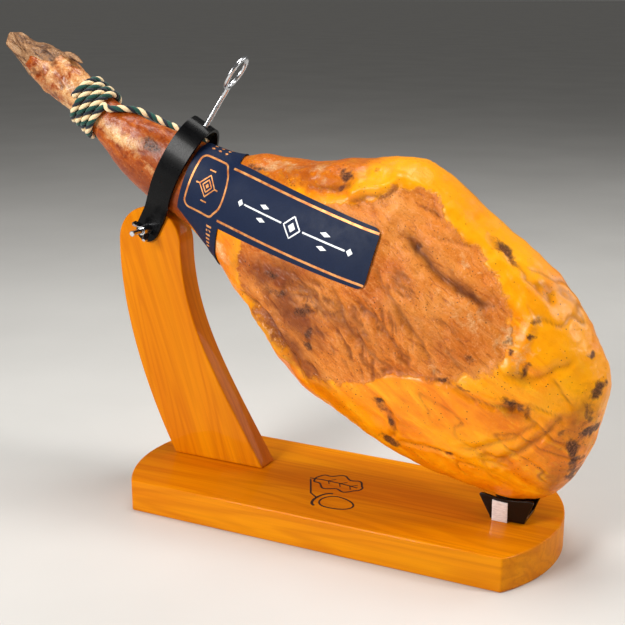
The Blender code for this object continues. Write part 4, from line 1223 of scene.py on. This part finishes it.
def along_curve(route, spacing):
    """The route at equal steps, with frames that don't twist."""
    curve = smooth_rows(route, 4)
    travelled = travelled_length(curve)
    count = round(travelled[-1] / spacing)
    wanted = np.linspace(0, travelled[-1], count + 1)
    points = np.array([np.interp(wanted, travelled, curve[:, axis]) for axis in range(3)]).T
    tangents = np.gradient(points, axis=0)
    tangents /= np.linalg.norm(tangents, axis=1)[:, None]
    side = np.cross(tangents[0], (0, 0, 1.0))
    sides = []
    for tangent in tangents:
        side = side - tangent * (side @ tangent)
        side = side / np.linalg.norm(side)
        sides.append(side)
    sides = np.array(sides)
    return wanted, points, tangents, sides, np.cross(tangents, sides)


def make_rope(skin):
    """Three twisted strands, each a helix round the rope's route."""
    travelled, points, _, sides, ups = along_curve(rope_route(skin), 0.0009)
    kinds = (("rope_strand_cream", (255, 232, 186), (214, 168, 116), 0.0, 0.00215),
             ("rope_strand_green", (2, 78, 66), (0, 36, 34), 2.25, 0.00205),
             ("rope_strand_navy", (8, 24, 42), (3, 8, 16), 4.15, 0.00150))
    corners = 10
    for index, (name, tone, dark, start, radius) in enumerate(kinds):
        angle = start + 2 * math.pi * travelled / ROPE_LAY
        way = sides * np.cos(angle)[:, None] + ups * np.sin(angle)[:, None]
        middle = points + way * (ROPE_RADIUS - radius)
        tangent = np.gradient(middle, axis=0)
        tangent /= np.linalg.norm(tangent, axis=1)[:, None]
        outward = middle - points
        outward -= tangent * (outward * tangent).sum(axis=1)[:, None]
        outward /= np.linalg.norm(outward, axis=1)[:, None]
        beside = np.cross(tangent, outward)
        rings = []
        for corner in range(corners):
            turn = 2 * math.pi * corner / corners
            plies = 1 + 0.06 * np.sin(travelled * 2 * math.pi / 0.0021 + turn)
            rings.append(middle + (outward * math.cos(turn) + beside * math.sin(turn) * 1.12)
                         * (radius * plies)[:, None])
        rings = np.stack(rings, axis=1)
        strand = grid_object(name, rings, strand_fibre(name, tone, dark), closed=True, capped=True)
        place_piece(settle(strand, 70), STAND, "rope_fibre", *(("rope",) if index == 0 else ()))


# ---------------------------------------------------------------- label

def label_directions():
    along = Vector((math.cos(LABEL_SLOPE), 0, -math.sin(LABEL_SLOPE)))
    return along, Vector((math.sin(LABEL_SLOPE), 0, math.cos(LABEL_SLOPE)))


class LabelSurface:
    """Places on the label: distance along it and reach across it, walked over the skin."""

    def __init__(self, skin):
        self.skin = skin
        self.sections = {}

    def section(self, distance):
        key = round(distance, 4)
        if key not in self.sections:
            along, up = label_directions()
            start = LABEL_START + along * key
            front = self.skin.ray_cast(Vector((start.x, -0.3, start.z)), Y_AXIS)[0]
            centre = front + Vector((0, 0.022, 0))
            angles = np.radians(np.arange(-171, 172, 3))
            outward = [up * math.sin(angle) - Y_AXIS * math.cos(angle) for angle in angles]
            hits = np.array([self.skin.ray_cast(centre + way * 0.2, -way)[0] for way in outward])
            reach = travelled_length(hits)
            reach -= reach[len(angles) // 2]
            self.sections[key] = (reach, hits, np.array(outward))
        return self.sections[key]

    def place(self, distance, reach, lift=PRINT_LIFT):
        known, hits, outward = self.section(distance)
        spot = [np.interp(reach, known, hits[:, axis]) for axis in range(3)]
        way = [np.interp(reach, known, outward[:, axis]) for axis in range(3)]
        return Vector(spot) + Vector(way).normalized() * lift


def label_column(share, rows, wrap_rows):
    places = []
    for row in range(-rows - wrap_rows, rows + wrap_rows + 1):
        beyond = max(0.0, (abs(row) - rows) / wrap_rows)
        reach = math.copysign(LABEL_HALF * min(1.0, abs(row) / rows) + LABEL_WRAP * beyond, row)
        tip = LABEL_UPPER_TIP if row > 0 else LABEL_LOWER_TIP
        narrowing = min(1.0, beyond * 2.2)
        near = LABEL_SLANT * max(-LABEL_HALF, min(LABEL_HALF, reach))
        near += (tip[0] - near) * narrowing
        far = LABEL_BAND + (tip[1] - LABEL_BAND) * narrowing
        places.append((near + (far - near) * share, reach))
    return places


def make_label(surface):
    rows, wrap_rows, band_columns, tongue_columns = 10, 24, 12, 44
    grid = [label_column(column / band_columns, rows, wrap_rows) for column in range(band_columns + 1)]
    for column in range(1, tongue_columns + 1):
        share = 1 - (1 - column / tongue_columns) ** 1.5
        distance = LABEL_BAND + (LABEL_LENGTH - LABEL_BAND) * share
        corner = max(0.0, distance - (LABEL_LENGTH - LABEL_CORNER))
        half = LABEL_HALF + (LABEL_END_HALF - LABEL_HALF) * share
        half -= LABEL_CORNER - math.sqrt(max(LABEL_CORNER ** 2 - corner ** 2, 0.0))
        grid.append([(distance, half * row / rows) for row in range(-rows, rows + 1)])
    bm = bmesh.new()
    columns = [[bm.verts.new(surface.place(distance, reach, LABEL_LIFT)) for distance, reach in column]
               for column in grid]
    for here, there in zip(columns, columns[1:]):
        if len(there) < len(here):
            here = here[wrap_rows:-wrap_rows]
        for row in range(len(here) - 1):
            bm.faces.new((here[row], there[row], there[row + 1], here[row + 1]))
    label = link_object("navy_label", mesh_of("navy_label", bm), navy_card())
    add_solidify(label, LABEL_THICK)
    place_piece(settle(label, 50), STAND, "navy_card", "label")


def straight(start, end, count):
    return [tuple(row) for row in np.linspace(start, end, count)]


def frame_outline():
    """Rounded panel round the emblem; its side towards the tongue bulges."""
    left, right, half, bulge, corner = 0.0075, 0.0470, 0.0270, 0.0085, 0.007
    middle, slant, quarter = half - corner, LABEL_SLANT * half, math.pi / 2
    path = arc((left + corner + slant, middle), (-corner, corner), 0, quarter, 7)
    path += straight((left + corner + 0.008, half), (right - corner, half), 5)
    path += arc((right - corner, middle), (corner, corner), quarter - 0.3, 0.4, 5)
    path += arc((right, 0), (bulge, middle), 1.25, -1.25, 17)
    path += arc((right - corner, -middle), (corner, -corner), 0.4, quarter - 0.3, 5)
    path += straight((right - corner, -half), (left + corner - 0.002, -half), 5)
    path += arc((left + corner - slant * 0.7, -middle), (-corner, -corner), quarter, 0, 7)
    return path + path[:1]


def make_label_print(surface):
    place = surface.place
    copper = foil("copper_ink", (196, 110, 52), (240, 172, 104), 0.38)
    bm = bmesh.new()
    flat_stroke(bm, frame_outline(), 0.0021, place)
    for side in (1, -1):
        edge = straight((0.0540, side * 0.0262), (LABEL_LENGTH - 0.0008, side * 0.0238), 60)
        flat_stroke(bm, edge, 0.0023, place)
    # emblem: two lozenge rings with a dot and four rays
    middle = 0.0305
    for size in (0.0105, 0.0060):
        ring = lozenge(middle, 0.0, size, size)
        flat_stroke(bm, ring + ring[:1], 0.0013, place)
    lozenge_patch(bm, middle, 0.0, 0.0024, 0.0024, place)
    for side in (1, -1):
        bar = straight((middle - 0.004, side * 0.0150), (middle + 0.004, side * 0.0150), 4)
        flat_stroke(bm, bar, 0.0014, place)
        ray = straight((middle + side * 0.0105, 0), (middle + side * 0.0150, 0), 4)
        flat_stroke(bm, ray, 0.0013, place)
    # short bars down the lower end, small lozenges over the upper end
    for step in range(6):
        reach = -0.0365 - 0.0048 * step
        flat_stroke(bm, straight((0.0405, reach), (0.0475 - 0.0006 * step, reach), 4), 0.0022, place)
    for step in range(5):
        for lane in range(3):
            lozenge_patch(bm, 0.016 + 0.0085 * lane, 0.0375 + 0.0058 * step, 0.0022, 0.0017, place)
    finish_print("copper_print", bm, copper, STAND, "navy_card")
    silver = foil("pale_ink", (205, 208, 212), (238, 240, 242), 0.45)
    bm = bmesh.new()
    middle = 0.1450
    for side in (1, -1):
        bar = straight((middle + side * 0.013, 0), (middle + side * 0.062, 0), 20)
        flat_stroke(bm, bar, 0.0016, place)
        lozenge_patch(bm, middle + side * 0.067, 0, 0.0035, 0.0035, place)
        for reach in (0.0062, -0.0062):
            lozenge_patch(bm, middle + side * 0.0375, reach, 0.0060, 0.0022, place)
    diamond = lozenge(middle, 0, 0.0100, 0.0100)
    flat_stroke(bm, diamond + diamond[:1], 0.0014, place)
    lozenge_patch(bm, middle, 0, 0.0045, 0.0045, place)
    finish_print("pale_print", bm, silver, STAND, "navy_card")


# ---------------------------------------------------------------- floor, lights, camera

def make_floor():
    mesh = grid_mesh("floor", [[(x, y, 0.0) for x in (-60, 60)] for y in (-60, 60)])
    pale = Shader("pale_floor", Roughness=0.6)
    material = pale.finish(pale.ramp(pale.noise(3), (0.3, (206, 205, 202)), (0.7, (214, 213, 210))))
    link_object("floor", mesh, material)


def area_light(name, place, target, size, watts, tint):
    light = bpy.data.lights.new(name, "AREA")
    light.shape = "RECTANGLE"
    light.size, light.size_y = size
    light.energy = watts
    light.color = tint
    obj = bpy.data.objects.new(name, light)
    obj.location = place
    obj.rotation_euler = (Vector(target) - Vector(place)).to_track_quat("-Z", "Y").to_euler()
    bpy.context.scene.collection.objects.link(obj)


def make_lights():
    world = bpy.data.worlds.new("soft_room")
    world.use_nodes = True
    backdrop = world.node_tree.nodes["Background"]
    backdrop.inputs["Color"].default_value = linear((240, 238, 234))
    backdrop.inputs["Strength"].default_value = 0.14
    bpy.context.scene.world = world
    middle = (0.0, 0.0, 0.22)
    area_light("key", (-0.95, -2.0, 1.25), middle, (0.9, 0.9), 58, (1.0, 0.985, 0.96))
    area_light("top", (-0.10, 0.20, 1.9), middle, (1.0, 0.7), 21, (1.0, 0.985, 0.96))
    area_light("edge", (1.75, 0.35, 1.15), (0.15, 0, 0.25), (0.30, 0.8), 17, (1.0, 0.97, 0.93))
    area_light("back", (1.5, 2.0, 1.2), middle, (1.2, 1.0), 12, (1.0, 0.985, 0.96))


def make_camera():
    data = bpy.data.cameras.new("camera")
    data.lens = CAMERA_LENS
    data.sensor_width = 36
    camera = bpy.data.objects.new("camera", data)
    camera.location = CAMERA_PLACE
    camera.rotation_euler = (math.pi / 2 - CAMERA_DIP, 0, CAMERA_TURN)
    bpy.context.scene.collection.objects.link(camera)
    bpy.context.scene.camera = camera


def main():
    make_camera()
    make_lights()
    make_floor()
    bpy.context.scene.view_settings.view_transform = "Standard"
    board_top = make_board()
    make_upright(board_top)
    make_burnt_mark(board_top)
    make_collar()
    chrome = bright_metal("bright_steel", (226, 228, 232), 0.14)
    make_clamp_screw(chrome)
    for name in ("pivot_bolt", "wing_nut"):
        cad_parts[name].data.materials[0] = chrome
    make_cradle(board_top)
    make_ham()
    skin = smooth_skin()
    make_rope(skin)
    surface = LabelSurface(skin)
    make_label(surface)
    make_label_print(surface)


main()
